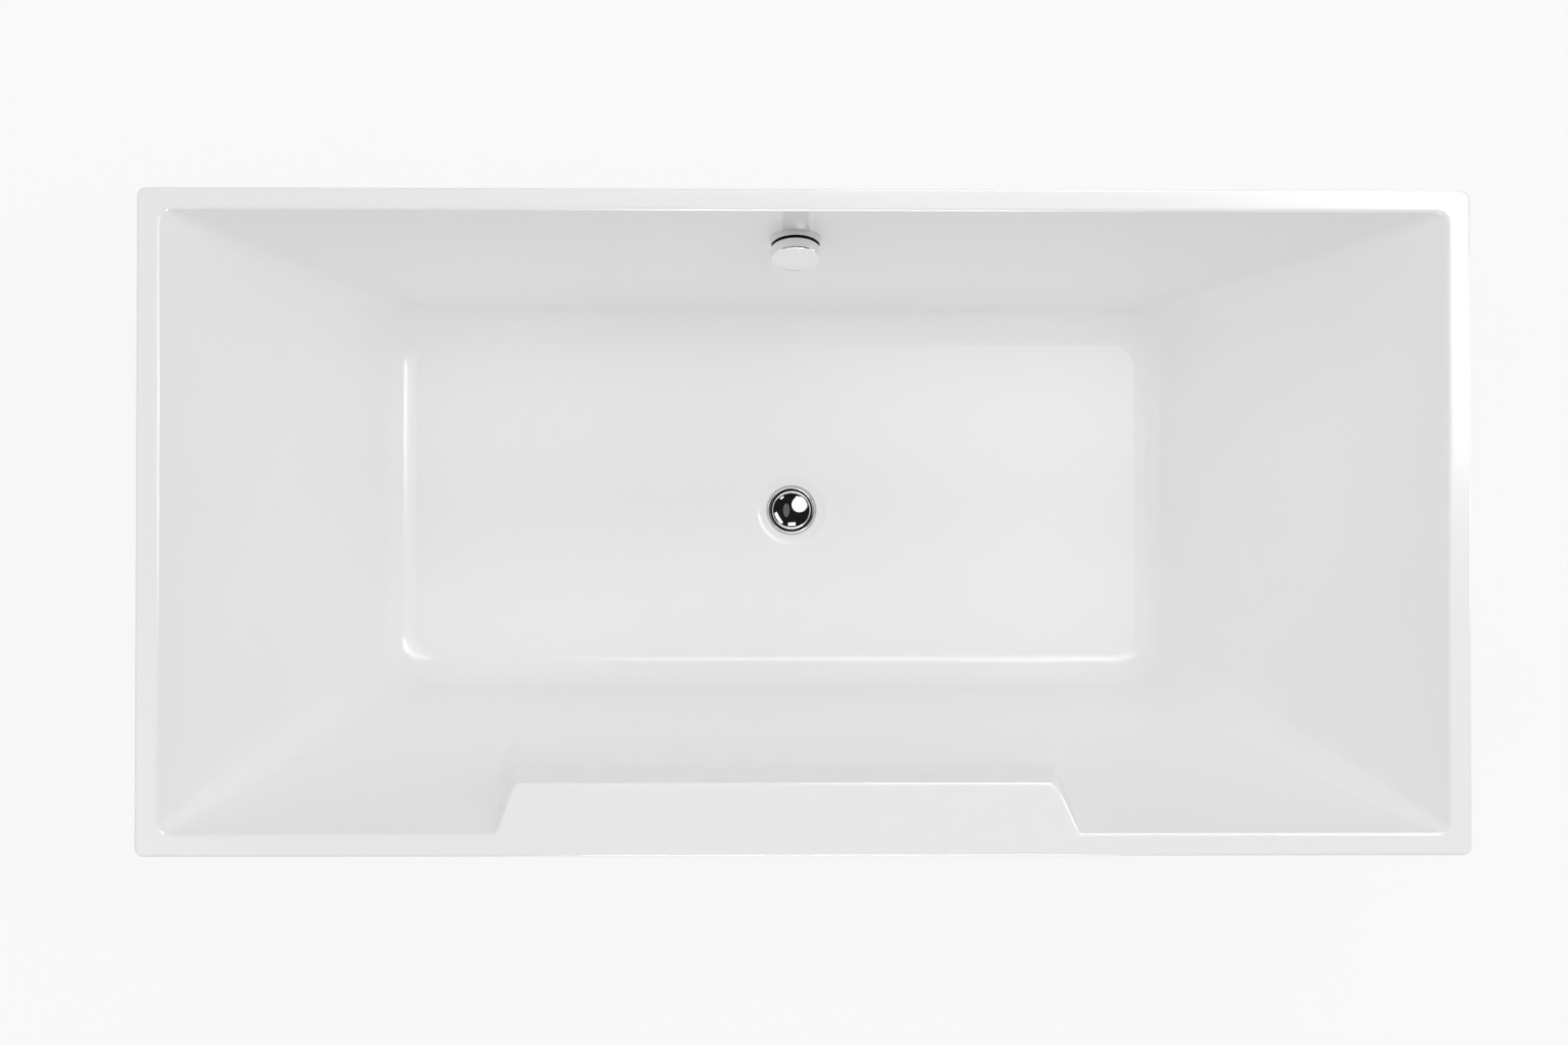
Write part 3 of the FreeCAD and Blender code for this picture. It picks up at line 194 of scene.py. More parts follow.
def lathe(profile, steps):
    """Points and faces of a profile of (radius, height) turned about Z; an end at radius 0 is one point."""
    points = []
    rings = []
    for radius, height in profile:
        if radius == 0.0:
            rings.append([len(points)] * steps)
            points.append(Vector((0.0, 0.0, height)))
            continue
        rings.append(list(range(len(points), len(points) + steps)))
        for step in range(steps):
            angle = 2 * math.pi * step / steps
            points.append(Vector((radius * math.cos(angle), radius * math.sin(angle), height)))
    faces = []
    for ring, next_ring in zip(rings, rings[1:]):
        for step in range(steps):
            after = (step + 1) % steps
            corners = (ring[step], ring[after], next_ring[after], next_ring[step])
            faces.append(tuple(dict.fromkeys(corners)))
    return points, faces


def turned_piece(name, profile, steps, place, body, material, replaced):
    """Lathe piece whose axis and origin are given by the matrix place."""
    points, faces = lathe(profile, steps)
    new_piece(name, [place @ point for point in points], faces, body, material, replaced)


def rounded_corner(centre, radius, first_degrees, last_degrees, steps):
    """Arc of a lathe profile."""
    arc = []
    for step in range(steps + 1):
        angle = math.radians(first_degrees + (last_degrees - first_degrees) * step / steps)
        arc.append((centre[0] + radius * math.cos(angle), centre[1] + radius * math.sin(angle)))
    return arc


# Basin surface

def wall_run(angle):
    """How far in a wall at an angle from the vertical reaches, with its fillet, down to the floor."""
    straight = BASIN_DEPTH - FILLET * (math.cos(CREASE) - math.sin(angle))
    curved = FILLET * (math.cos(angle) - math.sin(CREASE))
    return straight * math.tan(angle) + curved


def wall_angle(run):
    """Angle from the vertical of the wall that reaches in by run."""
    low = 0.0
    high = math.radians(70)
    for halving in range(50):
        middle = (low + high) / 2
        if wall_run(middle) < run:
            low = middle
        else:
            high = middle
    return low


ANGLES = {side: wall_angle(run) for side, run in RUNS.items()}
FILLET_RISE = FILLET * math.cos(CREASE)
BLEND_START = -FILLET * math.sin(CREASE) + math.sqrt(
    (FILLET - CREASE_BLEND) ** 2 - (FILLET_RISE - CREASE_BLEND) ** 2)
BLEND_TURN = math.acos((FILLET_RISE - CREASE_BLEND) / (FILLET - CREASE_BLEND))
BLEND_HEIGHT = FILLET_RISE - FILLET * math.cos(BLEND_TURN)


def edge_inset(angle, depth):
    """How far a face has come in at a depth below its rounded top edge; angle is from the vertical."""
    if depth >= EDGE_ROUND * (1 - math.sin(angle)):
        return depth * math.tan(angle)
    start = EDGE_ROUND * (1 - math.sin(angle)) / math.cos(angle)
    return math.sqrt(EDGE_ROUND ** 2 - (EDGE_ROUND - depth) ** 2) - start


def wall_inset(side, depth):
    """Inset of a wall from the rim line: rounded edge, straight wall, fillet and softened crease."""
    height = BASIN_DEPTH - depth
    if height < BLEND_HEIGHT:
        rise = CREASE_BLEND - height
        return RUNS[side] - BLEND_START - math.sqrt(max(0.0, CREASE_BLEND ** 2 - rise ** 2))
    if height < FILLET_RISE - FILLET * math.sin(ANGLES[side]):
        return RUNS[side] + FILLET * math.sin(CREASE) - math.sqrt(FILLET ** 2 - (FILLET_RISE - height) ** 2)
    return edge_inset(ANGLES[side], depth)


def corner_radius(depth):
    """Small at the rim, wide at the foot of the walls, tighter on the floor."""
    height = BASIN_DEPTH - depth
    wide = RIM_CORNER + (WALL_FOOT_CORNER - RIM_CORNER) * depth / BASIN_DEPTH
    zone = FILLET_RISE - FILLET * math.sin(ANGLES["back"])
    share = min(1.0, max(0.0, (zone - height) / zone))
    radius = wide + (FLOOR_CORNER - wide) * (1 - math.sqrt(1 - share ** 2))
    return radius + max(0.0, -wall_inset("back", depth))


def smooth_low(a, b, width):
    """The lower of two values, blended where they are closer than width."""
    near = max(width - abs(a - b), 0.0) / width
    return min(a, b) - near * near * width / 4


def ledge_ends(depth):
    """X of the two ends of the ledge's inner edge at a depth."""
    grown = edge_inset(LEDGE_END_DRAFT, min(depth, LEDGE_SPREAD_DEPTH))
    return -LEDGE_LEFT - grown, LEDGE_RIGHT + grown


def front_line(x, depth):
    """Y of the front side at a depth: the wall, and the ledge where it stands further in."""
    wall = wall_inset("front", depth) - RIM_INNER_Y
    left, right = ledge_ends(depth)
    face = LEDGE_WIDTH - RIM_INNER_Y + edge_inset(LEDGE_DRAFT, depth)
    left_end = face + (x - left) * LEDGE_WIDTH / LEDGE_LEFT_SLANT
    right_end = face + (right - x) * LEDGE_WIDTH / LEDGE_RIGHT_SLANT
    ledge = smooth_low(smooth_low(face, left_end, LEDGE_PLAN_ROUND), right_end, LEDGE_PLAN_ROUND)
    foot_share = min(1.0, depth / LEDGE_FOOT_DEPTH)
    foot_round = LEDGE_RIM_ROUND + (LEDGE_FOOT_ROUND - LEDGE_RIM_ROUND) * foot_share
    return -smooth_low(-wall, -ledge, foot_round)


CORNER_STEPS = 16
END_MARGIN = 0.034
FRONT_COUNTS = (8, 56, 24, 56, 8)
SIDE_COUNT = 24
BACK_COUNTS = (18, 30, 20)
KNOB_ZONE = 0.060
LIP_HEIGHTS = (LIP_BOTTOM, LIP_BOTTOM + 0.0008, LIP_BOTTOM + 0.010, HEIGHT - 0.012, HEIGHT - RIM_EDGE_ROUND)
RIM_EDGE_STEPS = 8
RIM_FLAT_SHARES = (0.1, 0.35, 0.65, 0.9)
EDGE_STEPS = 9
UPPER_WALL_DEPTHS = np.arange(0.008, 0.215, 0.0045)
LOWER_WALL_START = 0.225
FLOOR_SHARES = (0.015, 0.06, 0.2, 0.4, 0.6, 0.8, 0.92, 1.0)
BACK_FLOOR_RADII = (0.0565, 0.0560)
BACK_STEP_RADIUS = 0.0538
BACK_FLAT_RADIUS = 0.0530


def spread(stops, counts):
    """Values from the first stop to the last, with a count for each stretch between stops."""
    values = []
    for start, end, count in zip(stops, stops[1:], counts):
        values += [start + (end - start) * share for share in even(count)]
    return values


def outline(left, right, front, back, radius, depth, front_side):
    """Closed loop in plan, counter-clockwise from the left end of the front side."""
    first, last = left + radius, right - radius
    ledge_left, ledge_right = ledge_ends(depth)
    stops = (first,
             ledge_left - LEDGE_LEFT_SLANT - END_MARGIN, ledge_left + END_MARGIN,
             ledge_right - END_MARGIN, ledge_right + LEDGE_RIGHT_SLANT + END_MARGIN,
             last)
    points = [np.array((x, front_side(x))) for x in spread(stops, FRONT_COUNTS)]
    points += corner_points((last, front + radius), radius, -90, CORNER_STEPS)
    points += side_points((right, front + radius), (right, back - radius), even(SIDE_COUNT))
    points += corner_points((last, back - radius), radius, 0, CORNER_STEPS)
    stops = (last, DRAIN.x + KNOB_ZONE, DRAIN.x - KNOB_ZONE, first)
    points += [np.array((x, back)) for x in spread(stops, BACK_COUNTS)]
    points += corner_points((first, back - radius), radius, 90, CORNER_STEPS)
    points += side_points((left, back - radius), (left, front + radius), even(SIDE_COUNT))
    points += corner_points((first, front + radius), radius, 180, CORNER_STEPS)
    return np.array(points)


def basin_row(depth):
    """Loop round the inside of the basin at a depth below the rim."""
    left = wall_inset("left", depth) - RIM_INNER_X
    right = RIM_INNER_X - wall_inset("right", depth)
    front = wall_inset("front", depth) - RIM_INNER_Y
    back = RIM_INNER_Y - wall_inset("back", depth)
    plan = outline(left, right, front, back, corner_radius(depth), depth, lambda x: front_line(x, depth))
    return with_height(plan, HEIGHT - depth)


def rim_row(inset, z):
    """Loop round the outside of the rim."""
    half_x = LENGTH / 2 - inset
    half_y = WIDTH / 2 - inset
    radius = max(RIM_CORNER_OUTSIDE - inset, RIM_CORNER_LEAST)
    return with_height(outline(-half_x, half_x, -half_y, half_y, radius, 0.0, lambda x: -half_y), z)


def with_height(plan, z):
    """Points in plan set at a height."""
    return np.column_stack([plan, np.full(len(plan), z)])


def circle_row(edge, radius, z):
    """Circle round the drain whose points lie in the directions of the points of edge."""
    centre = np.array(DRAIN[:2])
    towards = edge[:, :2] - centre
    towards = towards / np.linalg.norm(towards, axis=1)[:, None]
    return with_height(centre + towards * radius, z)


def dish_profile():
    """Radius and drop of the drain dish: a soft slope, a flat, the recess of the waste ring and the hole."""
    profile = []
    for share in np.linspace(0, 1, 11):
        drop = DISH_SLOPE_DROP * (1 - math.cos(math.pi * share)) / 2
        profile.append((DISH_SLOPE_START - DISH_SLOPE_WIDTH * share, drop))
    profile += DISH_INNER_PROFILE
    return profile


def rim_rows():
    """Rows over the lip and the rim, up to the basin's edge, and the rows under them."""
    upper = []
    lower = []
    under_rim = HEIGHT - SHEET_SHOWN
    for z in LIP_HEIGHTS:
        bevel = LIP_BEVEL if z == LIP_BOTTOM else 0.0
        upper.append(rim_row(bevel, z))
        lower.append(rim_row(SHEET_SHOWN - bevel, min(z, under_rim - 0.0005)))
    for step in range(1, RIM_EDGE_STEPS + 1):
        angle = math.pi / 2 * step / RIM_EDGE_STEPS
        inset = RIM_EDGE_ROUND * (1 - math.cos(angle))
        upper.append(rim_row(inset, HEIGHT - RIM_EDGE_ROUND + RIM_EDGE_ROUND * math.sin(angle)))
        lower.append(rim_row(SHEET_SHOWN + 0.0002 * step, under_rim))
    edge = basin_row(0.0)
    flat_start = upper[-1]
    under_start = lower[-1]
    for share in RIM_FLAT_SHARES:
        upper.append(flat_start + (edge - flat_start) * share)
        under = under_start + (edge - under_start) * share
        under[:, 2] = under_rim
        lower.append(under)
    return upper, lower


def wall_depths():
    """Depths of the rows down the walls: the rounded edge, the wall, the fillet and the softened crease."""
    depths = []
    for step in range(EDGE_STEPS + 1):
        depths.append(EDGE_ROUND * (1 - math.cos(math.pi / 2 * step / EDGE_STEPS)))
    depths += list(UPPER_WALL_DEPTHS)
    wall_foot = BASIN_DEPTH - FILLET_RISE + FILLET * math.sin(ANGLES["back"])
    depths += list(np.linspace(LOWER_WALL_START, wall_foot - 0.004, 9))
    for turn in np.linspace(math.pi / 2 - ANGLES["back"], BLEND_TURN, 26):
        depths.append(BASIN_DEPTH - FILLET_RISE + FILLET * math.cos(turn))
    for turn in np.linspace(BLEND_TURN, 0, 9)[1:]:
        depths.append(BASIN_DEPTH - CREASE_BLEND * (1 - math.cos(turn)))
    return depths


def sheet_back(rows, floor_edge, dish_count):
    """Rows on the back of the sheet; the floor is thicker round the drain."""
    along = np.roll(rows, -1, axis=1) - np.roll(rows, 1, axis=1)
    inward = np.gradient(rows, axis=0)
    normals = np.cross(along, inward)
    normals /= np.linalg.norm(normals, axis=2)[:, :, None]
    under = rows - normals * SHEET_SHOWN
    dish_back = FLOOR_Z - DISH_BACK_DROP
    floor_back = FLOOR_Z - SHEET_SHOWN
    backs = [(radius, floor_back) for radius in BACK_FLOOR_RADII]
    backs += [(BACK_STEP_RADIUS, floor_back - 0.0002), (BACK_STEP_RADIUS, dish_back + 0.001)]
    flat_radii = np.linspace(BACK_FLAT_RADIUS, DRAIN_HOLE, dish_count - len(backs))
    backs += [(radius, dish_back) for radius in flat_radii]
    for offset, (radius, z) in enumerate(backs):
        under[len(rows) - dish_count + offset] = circle_row(floor_edge, radius, z)
    return under


def basin_rows():
    """Upper rows of the sheet, from the lip to the drain hole, and the rows under them."""
    upper, lower = rim_rows()
    rows = [basin_row(depth) for depth in wall_depths()]
    floor_edge = rows[-1]
    dish_edge = circle_row(floor_edge, DISH_EDGE, FLOOR_Z)
    for share in FLOOR_SHARES:
        rows.append(floor_edge + (dish_edge - floor_edge) * share)
    dish = dish_profile()
    for radius, drop in dish:
        rows.append(circle_row(floor_edge, radius, FLOOR_Z - drop))
    under = sheet_back(np.array(rows), floor_edge, len(dish))
    return np.array(upper + rows), np.array(lower + list(under))


OVERFLOW_Y = RIM_INNER_Y - OVERFLOW_DROP * math.tan(ANGLES["back"])
OVERFLOW_POINT = Vector((DRAIN.x, OVERFLOW_Y, HEIGHT - OVERFLOW_DROP))
BEHIND_WALL = Vector((0, math.cos(ANGLES["back"]), -math.sin(ANGLES["back"])))
INTO_TUB = Vector((0, -math.cos(KNOB_TILT), math.sin(KNOB_TILT)))
KNOB_PLACE = Matrix.Translation(OVERFLOW_POINT) @ INTO_TUB.to_track_quat("Z", "X").to_matrix().to_4x4()


def off_hole_axis(points):
    """Vectors from the overflow hole's axis to the points."""
    away = points - np.array(OVERFLOW_POINT)
    axis = np.array(BEHIND_WALL)
    return away - np.sum(away * axis, axis=2)[:, :, None] * axis


def basin(material):
    """The moulded sheet with rim, ledge and dish, open at the drain and at the overflow."""
    upper, lower = basin_rows()
    row_count, row_length = upper.shape[:2]
    away = off_hole_axis(upper)
    distance = np.linalg.norm(away, axis=2)
    on_back_wall = (upper[:, :, 1] > 0.3) & (upper[:, :, 2] > 0.4)
    in_hole = (distance < OVERFLOW_HOLE) & on_back_wall
    faces = []
    rim_of_hole = set()
    second = row_count * row_length
    open_edges = {}
    for row in range(row_count - 1):
        for step in range(row_length):
            after = (step + 1) % row_length
            corners = [(row, step), (row, after), (row + 1, after), (row + 1, step)]
            if any(in_hole[corner] for corner in corners):
                rim_of_hole.update(corner for corner in corners if not in_hole[corner])
                continue
            ring = [r * row_length + s for r, s in corners]
            faces.append(tuple(ring))
            faces.append(tuple(second + index for index in reversed(ring)))
            for a, b in zip(ring, ring[1:] + ring[:1]):
                if (b, a) in open_edges:
                    del open_edges[(b, a)]
                else:
                    open_edges[(a, b)] = True
    for corner in rim_of_hole:
        pull = away[corner] / distance[corner] * (distance[corner] - OVERFLOW_HOLE)
        upper[corner] -= pull
        under_away = off_hole_axis(lower[corner].reshape(1, 1, 3))[0, 0]
        length = np.linalg.norm(under_away)
        lower[corner] -= under_away / length * (length - OVERFLOW_HOLE)
    for a, b in open_edges:
        faces.append((b, a, second + a, second + b))
    points = np.concatenate([upper.reshape(-1, 3), lower.reshape(-1, 3)])
    used = sorted({index for face in faces for index in face})
    place = {index: order for order, index in enumerate(used)}
    faces = [tuple(place[index] for index in face) for face in faces]
    new_piece("tub_basin", points[used], faces, "tub", material, ("basin_shell",))


# Skirt

SKIRT_SIDE_COUNT = 10
FOOT_STEPS = 6
FLANGE_UNDER_INSETS = (0.008, 0.016, SKIRT_FLANGE - SKIRT_BEVEL)
FLANGE_TOP_INSETS = (SKIRT_FLANGE - SKIRT_BEVEL, 0.015, 0.0065)
FLANGE_CORNER_RISE = 0.0025


def skirt_row(z, inset):
    """Loop round the tapered skirt, set in from its outside."""
    share = min(1.0, max(0.0, (LIP_BOTTOM - z) / (LIP_BOTTOM - SKIRT_BOTTOM)))
    half_x = SKIRT_HALF_X - SKIRT_END_TAPER * share - inset
    half_y = SKIRT_HALF_Y - SKIRT_SIDE_TAPER * share - inset
    radius = max(SKIRT_RADIUS - inset, SKIRT_RADIUS_LEAST)
    reach = (half_x - radius, half_y - radius)
    signs = ((1, -1), (1, 1), (-1, 1), (-1, -1))
    points = []
    for corner in range(4):
        centre = np.array(signs[corner]) * reach
        next_centre = np.array(signs[(corner + 1) % 4]) * reach
        angle = math.radians(90 * corner)
        outward = radius * np.array((math.cos(angle), math.sin(angle)))
        points += corner_points(centre, radius, -90 + 90 * corner, CORNER_STEPS)
        points += side_points(centre + outward, next_centre + outward, even(SKIRT_SIDE_COUNT))
    return with_height(np.array(points), z)


def skirt(material):
    """Tapered outer panel with a rounded foot and a flange turned in under it."""
    flange_top = SKIRT_BOTTOM + SKIRT_WALL
    rows = [skirt_row(SKIRT_TOP, SKIRT_BEVEL), skirt_row(SKIRT_TOP - SKIRT_BEVEL, 0.0)]
    rows += [skirt_row(z, 0.0) for z in (LIP_BOTTOM + 0.004, LIP_BOTTOM + 0.001, LIP_BOTTOM - 0.002)]
    panel_foot = SKIRT_BOTTOM + SKIRT_FOOT_ROUND + 0.002
    rows += [skirt_row(z, 0.0) for z in np.linspace(LIP_BOTTOM - 0.03, panel_foot, 12)]
    for step in range(FOOT_STEPS + 1):
        angle = math.pi / 2 * step / FOOT_STEPS
        z = SKIRT_BOTTOM + SKIRT_FOOT_ROUND * (1 - math.sin(angle))
        rows.append(skirt_row(z, SKIRT_FOOT_ROUND * (1 - math.cos(angle))))
    rows += [skirt_row(SKIRT_BOTTOM, inset) for inset in FLANGE_UNDER_INSETS]
    rows.append(skirt_row(SKIRT_BOTTOM + SKIRT_BEVEL, SKIRT_FLANGE))
    rows.append(skirt_row(flange_top - SKIRT_BEVEL, SKIRT_FLANGE))
    rows += [skirt_row(flange_top, inset) for inset in FLANGE_TOP_INSETS]
    rows.append(skirt_row(flange_top + FLANGE_CORNER_RISE, SKIRT_WALL))
    rows += [skirt_row(z, SKIRT_WALL) for z in np.linspace(SKIRT_BOTTOM + 0.03, LIP_BOTTOM, 8)]
    rows.append(skirt_row(SKIRT_TOP, SKIRT_WALL))
    rows.append(rows[0])
    points = np.concatenate(rows)
    faces = grid_faces(len(rows), len(rows[0]))
    new_piece("tub_skirt", points, faces, "tub", material, ("skirt",))


# Chrome pieces

TURN_STEPS = 128
ROLL_STEPS = 12
DOME_STEPS = 24


def plug(material):
    """Domed cap rolled down to a narrow flat brim, and the boss below it."""
    top = PLUG_UNDERSIDE + PLUG_EDGE + PLUG_DOME
    dome = (PLUG_RADIUS ** 2 + PLUG_DOME ** 2) / (2 * PLUG_DOME)
    roll_start = math.asin(PLUG_ROLL / dome)
    roll = (PLUG_DOME_EDGE - PLUG_ROLL) / (math.sin(PLUG_ROLL_SLOPE) - math.sin(roll_start))
    roll_top = top - dome + dome * math.cos(roll_start)
    cap = []
    for step in range(ROLL_STEPS):
        slope = PLUG_ROLL_SLOPE + (roll_start - PLUG_ROLL_SLOPE) * step / ROLL_STEPS
        radius = PLUG_ROLL + roll * (math.sin(slope) - math.sin(roll_start))
        cap.append((radius, roll_top - roll * (math.cos(roll_start) - math.cos(slope))))
    for step in range(DOME_STEPS + 1):
        radius = PLUG_ROLL * (1 - step / DOME_STEPS)
        cap.append((radius, top - dome + math.sqrt(dome ** 2 - radius ** 2)))
    brim = cap[0][1]
    boss_end = PLUG_UNDERSIDE - PLUG_BOSS_DROP
    profile = [(0.0, boss_end), (PLUG_BOSS - PLUG_BOSS_BEVEL, boss_end)]
    profile += [(PLUG_BOSS, boss_end + PLUG_BOSS_BEVEL), (PLUG_BOSS, PLUG_UNDERSIDE)]
    profile += [(PLUG_RADIUS - PLUG_UNDER_BEVEL, PLUG_UNDERSIDE)]
    profile += [(PLUG_RADIUS, PLUG_UNDERSIDE + PLUG_UNDER_BEVEL)]
    edge_centre = (PLUG_RADIUS - PLUG_BRIM_ROUND, brim - PLUG_BRIM_ROUND)
    profile += rounded_corner(edge_centre, PLUG_BRIM_ROUND, 0, 90, 6)
    profile += [(PLUG_RADIUS - 0.0006, brim), (PLUG_DOME_EDGE + 0.0002, brim)]
    profile += cap
    place = Matrix.Translation(DRAIN)
    turned_piece("plug_dome", profile, TURN_STEPS, place, "plug", material, ("plug_cap",))


def waste_ring(material):
    """Flange round the plug, with a bevelled edge that turns towards the walls, and its neck."""
    place = Matrix.Translation(DRAIN)
    profile = WASTE_RING_PROFILE
    turned_piece("waste_ring", profile, TURN_STEPS, place, "tub", material, ("waste_flange",))


def knob(material):
    """Round chrome cap with a rounded front edge, hollow behind."""
    front = KNOB_BACK + KNOB_THICKNESS
    back = KNOB_BACK + KNOB_CAP_GAP
    ceiling = KNOB_BACK + KNOB_BORE_DEPTH + KNOB_CAP_PLAY
    inner = KNOB_RADIUS - KNOB_CAP_WALL
    profile = [(0.0, ceiling), (inner - KNOB_CAP_PLAY, ceiling), (inner, back)]
    lip_centre = (KNOB_RADIUS - KNOB_CAP_LIP, back + KNOB_CAP_LIP)
    profile += rounded_corner(lip_centre, KNOB_CAP_LIP, -90, 0, 4)
    edge_centre = (KNOB_RADIUS - KNOB_EDGE_ROUND, front - KNOB_EDGE_ROUND)
    profile += rounded_corner(edge_centre, KNOB_EDGE_ROUND, 0, 90, 9)
    profile += [(KNOB_RADIUS * share, front) for share in (0.90, 0.75, 0.5, 0.25, 0.0)]
    turned_piece("overflow_knob", profile, TURN_STEPS, KNOB_PLACE, "knob", material, ("knob_cap",))


def knob_shadow_insert(material):
    """Plastic back of the knob, seen in the gap behind the cap; its black stands in for the shadow there, as
    painted shade.
    """
    profile = [(INSERT_BORE, INSERT_FRONT), (INSERT_BORE, INSERT_BACK + INSERT_BORE_BEVEL)]
    profile += [(INSERT_BORE + INSERT_BORE_BEVEL, INSERT_BACK), (INSERT_RADIUS - INSERT_BEVEL, INSERT_BACK)]
    profile += [(INSERT_RADIUS, INSERT_BACK + INSERT_BEVEL), (INSERT_RADIUS, INSERT_FRONT)]
    profile += [(INSERT_BORE, INSERT_FRONT)]
    turned_piece("knob_shadow_insert", profile, TURN_STEPS, KNOB_PLACE, "knob", material, ())


# Materials

def new_material(name, colour, roughness, metallic=0.0, ior=1.5):
    """Plain material, before a pattern is laid over it."""
    material = bpy.data.materials.new(name)
    material.use_nodes = True
    shader = material.node_tree.nodes["Principled BSDF"]
    shader.inputs["Base Color"].default_value = (*colour, 1)
    shader.inputs["Roughness"].default_value = roughness
    shader.inputs["Metallic"].default_value = metallic
    shader.inputs["IOR"].default_value = ior
    return material


def add_node(material, kind):
    return material.node_tree.nodes.new(kind)


def link(material, source, target):
    material.node_tree.links.new(source, target)


def textured(material, pattern, low, high, rough_low, rough_high, bump=0.0, distance=0.0):
    """Colour and roughness that run between two values with a pattern socket, and a bump from it."""
    shader = material.node_tree.nodes["Principled BSDF"]
    ramp = add_node(material, "ShaderNodeMix")
    ramp.data_type = "RGBA"
    ramp.inputs[6].default_value = (*low, 1)
    ramp.inputs[7].default_value = (*high, 1)
    link(material, pattern, ramp.inputs[0])
    link(material, ramp.outputs[2], shader.inputs["Base Color"])
    rough = add_node(material, "ShaderNodeMapRange")
    rough.inputs["To Min"].default_value = rough_low
    rough.inputs["To Max"].default_value = rough_high
    link(material, pattern, rough.inputs["Value"])
    link(material, rough.outputs["Result"], shader.inputs["Roughness"])
    if bump:
        relief = add_node(material, "ShaderNodeBump")
        relief.inputs["Strength"].default_value = bump
        relief.inputs["Distance"].default_value = distance
        link(material, pattern, relief.inputs["Height"])
        link(material, relief.outputs["Normal"], shader.inputs["Normal"])


def object_place(material, scale):
    """Place on the object, in metres, scaled along each axis."""
    place = add_node(material, "ShaderNodeTexCoord")
    mapping = add_node(material, "ShaderNodeMapping")
    mapping.inputs["Scale"].default_value = scale
    link(material, place.outputs["Object"], mapping.inputs["Vector"])
    return mapping.outputs["Vector"]


def noise(material, scale, detail=3.0, stretch=(1, 1, 1)):
    """Cloudy pattern."""
    texture = add_node(material, "ShaderNodeTexNoise")
    texture.inputs["Scale"].default_value = scale
    texture.inputs["Detail"].default_value = detail
    link(material, object_place(material, stretch), texture.inputs["Vector"])
    return texture.outputs["Fac"]


def cells(material, scale, stretch=(1, 1, 1)):
    """Pattern of flat patches, as in chipboard and zinc."""
    texture = add_node(material, "ShaderNodeTexVoronoi")
    texture.inputs["Scale"].default_value = scale
    link(material, object_place(material, stretch), texture.inputs["Vector"])
    split = add_node(material, "ShaderNodeSeparateColor")
    link(material, texture.outputs["Color"], split.inputs["Color"])
    return split.outputs["Red"]


def make_materials():
    """One material for each slot of the record, and a darker, rougher copy of the chrome for the base ring,
    whose darker colour is painted shade.
    """
    made = {}
    acrylic = new_material("gloss_acrylic", (0.935, 0.935, 0.935), 0.18, ior=1.49)
    clouds = noise(acrylic, 3.0, 2.0)
    textured(acrylic, clouds, (0.930, 0.931, 0.932), (0.940, 0.940, 0.939), 0.16, 0.20, 0.02, 0.0004)
    made["acrylic"] = acrylic
    fibreglass = new_material("glass_mat", (0.72, 0.70, 0.62), 0.5)
    strands = noise(fibreglass, 160.0, 6.0, (1, 0.2, 1))
    textured(fibreglass, strands, (0.66, 0.65, 0.56), (0.78, 0.77, 0.70), 0.35, 0.6, 0.5, 0.001)
    made["fibreglass"] = fibreglass
    sealant = new_material("silicone", (0.74, 0.74, 0.72), 0.45)
    textured(sealant, noise(sealant, 60.0), (0.70, 0.70, 0.68), (0.78, 0.78, 0.76), 0.38, 0.5, 0.2, 0.0005)
    made["sealant"] = sealant
    board = new_material("chipboard", (0.50, 0.36, 0.20), 0.75)
    chips = cells(board, 240.0, (1, 0.45, 1))
    textured(board, chips, (0.36, 0.25, 0.13), (0.62, 0.48, 0.30), 0.65, 0.85, 0.3, 0.0006)
    made["board"] = board
    steel = new_material("galvanised", (0.55, 0.56, 0.57), 0.4, metallic=1.0)
    textured(steel, cells(steel, 70.0), (0.46, 0.47, 0.48), (0.66, 0.67, 0.69), 0.32, 0.48)
    made["frame_steel"] = steel
    zinc = new_material("zinc_plate", (0.62, 0.63, 0.64), 0.3, metallic=1.0)
    textured(zinc, noise(zinc, 220.0), (0.54, 0.55, 0.56), (0.70, 0.70, 0.68), 0.24, 0.36)
    made["zinc_steel"] = zinc
    foot = new_material("foot_nylon", (0.03, 0.03, 0.032), 0.5)
    textured(foot, noise(foot, 400.0), (0.022, 0.022, 0.024), (0.04, 0.04, 0.042), 0.42, 0.6, 0.2, 0.0003)
    made["foot_plastic"] = foot
    chrome = new_material("polished_chrome", (0.90, 0.90, 0.91), 0.05, metallic=1.0)
    textured(chrome, noise(chrome, 35.0), (0.89, 0.89, 0.90), (0.91, 0.91, 0.92), 0.03, 0.07)
    made["chrome"] = chrome
    # Darker copy of the chrome: painted shade that sets the base ring off from the wall it reflects.
    shaded = new_material("shaded_chrome", (0.80, 0.80, 0.81), 0.09, metallic=1.0)
    textured(shaded, noise(shaded, 35.0), (0.78, 0.78, 0.79), (0.82, 0.82, 0.83), 0.07, 0.12)
    made["shaded_chrome"] = shaded
    rubber = new_material("soft_rubber", (0.02, 0.02, 0.02), 0.7)
    textured(rubber, noise(rubber, 300.0), (0.015, 0.015, 0.015), (0.03, 0.03, 0.03), 0.6, 0.8, 0.2, 0.0003)
    made["rubber"] = rubber
    white = new_material("white_polymer", (0.72, 0.72, 0.70), 0.4)
    textured(white, noise(white, 180.0), (0.70, 0.70, 0.68), (0.76, 0.76, 0.74), 0.34, 0.46, 0.15, 0.0003)
    made["white_plastic"] = white
    black = new_material("black_polymer", (0.025, 0.025, 0.027), 0.42)
    textured(black, noise(black, 260.0), (0.02, 0.02, 0.022), (0.035, 0.035, 0.037), 0.36, 0.5, 0.15, 0.0003)
    made["black_plastic"] = black
    return made


materials = make_materials()
for entry in frame["record"]["subparts"]:
    mesh = nodes[entry["node"]].data
    mesh.materials.clear()
    mesh.materials.append(materials[entry["material_slot"]])
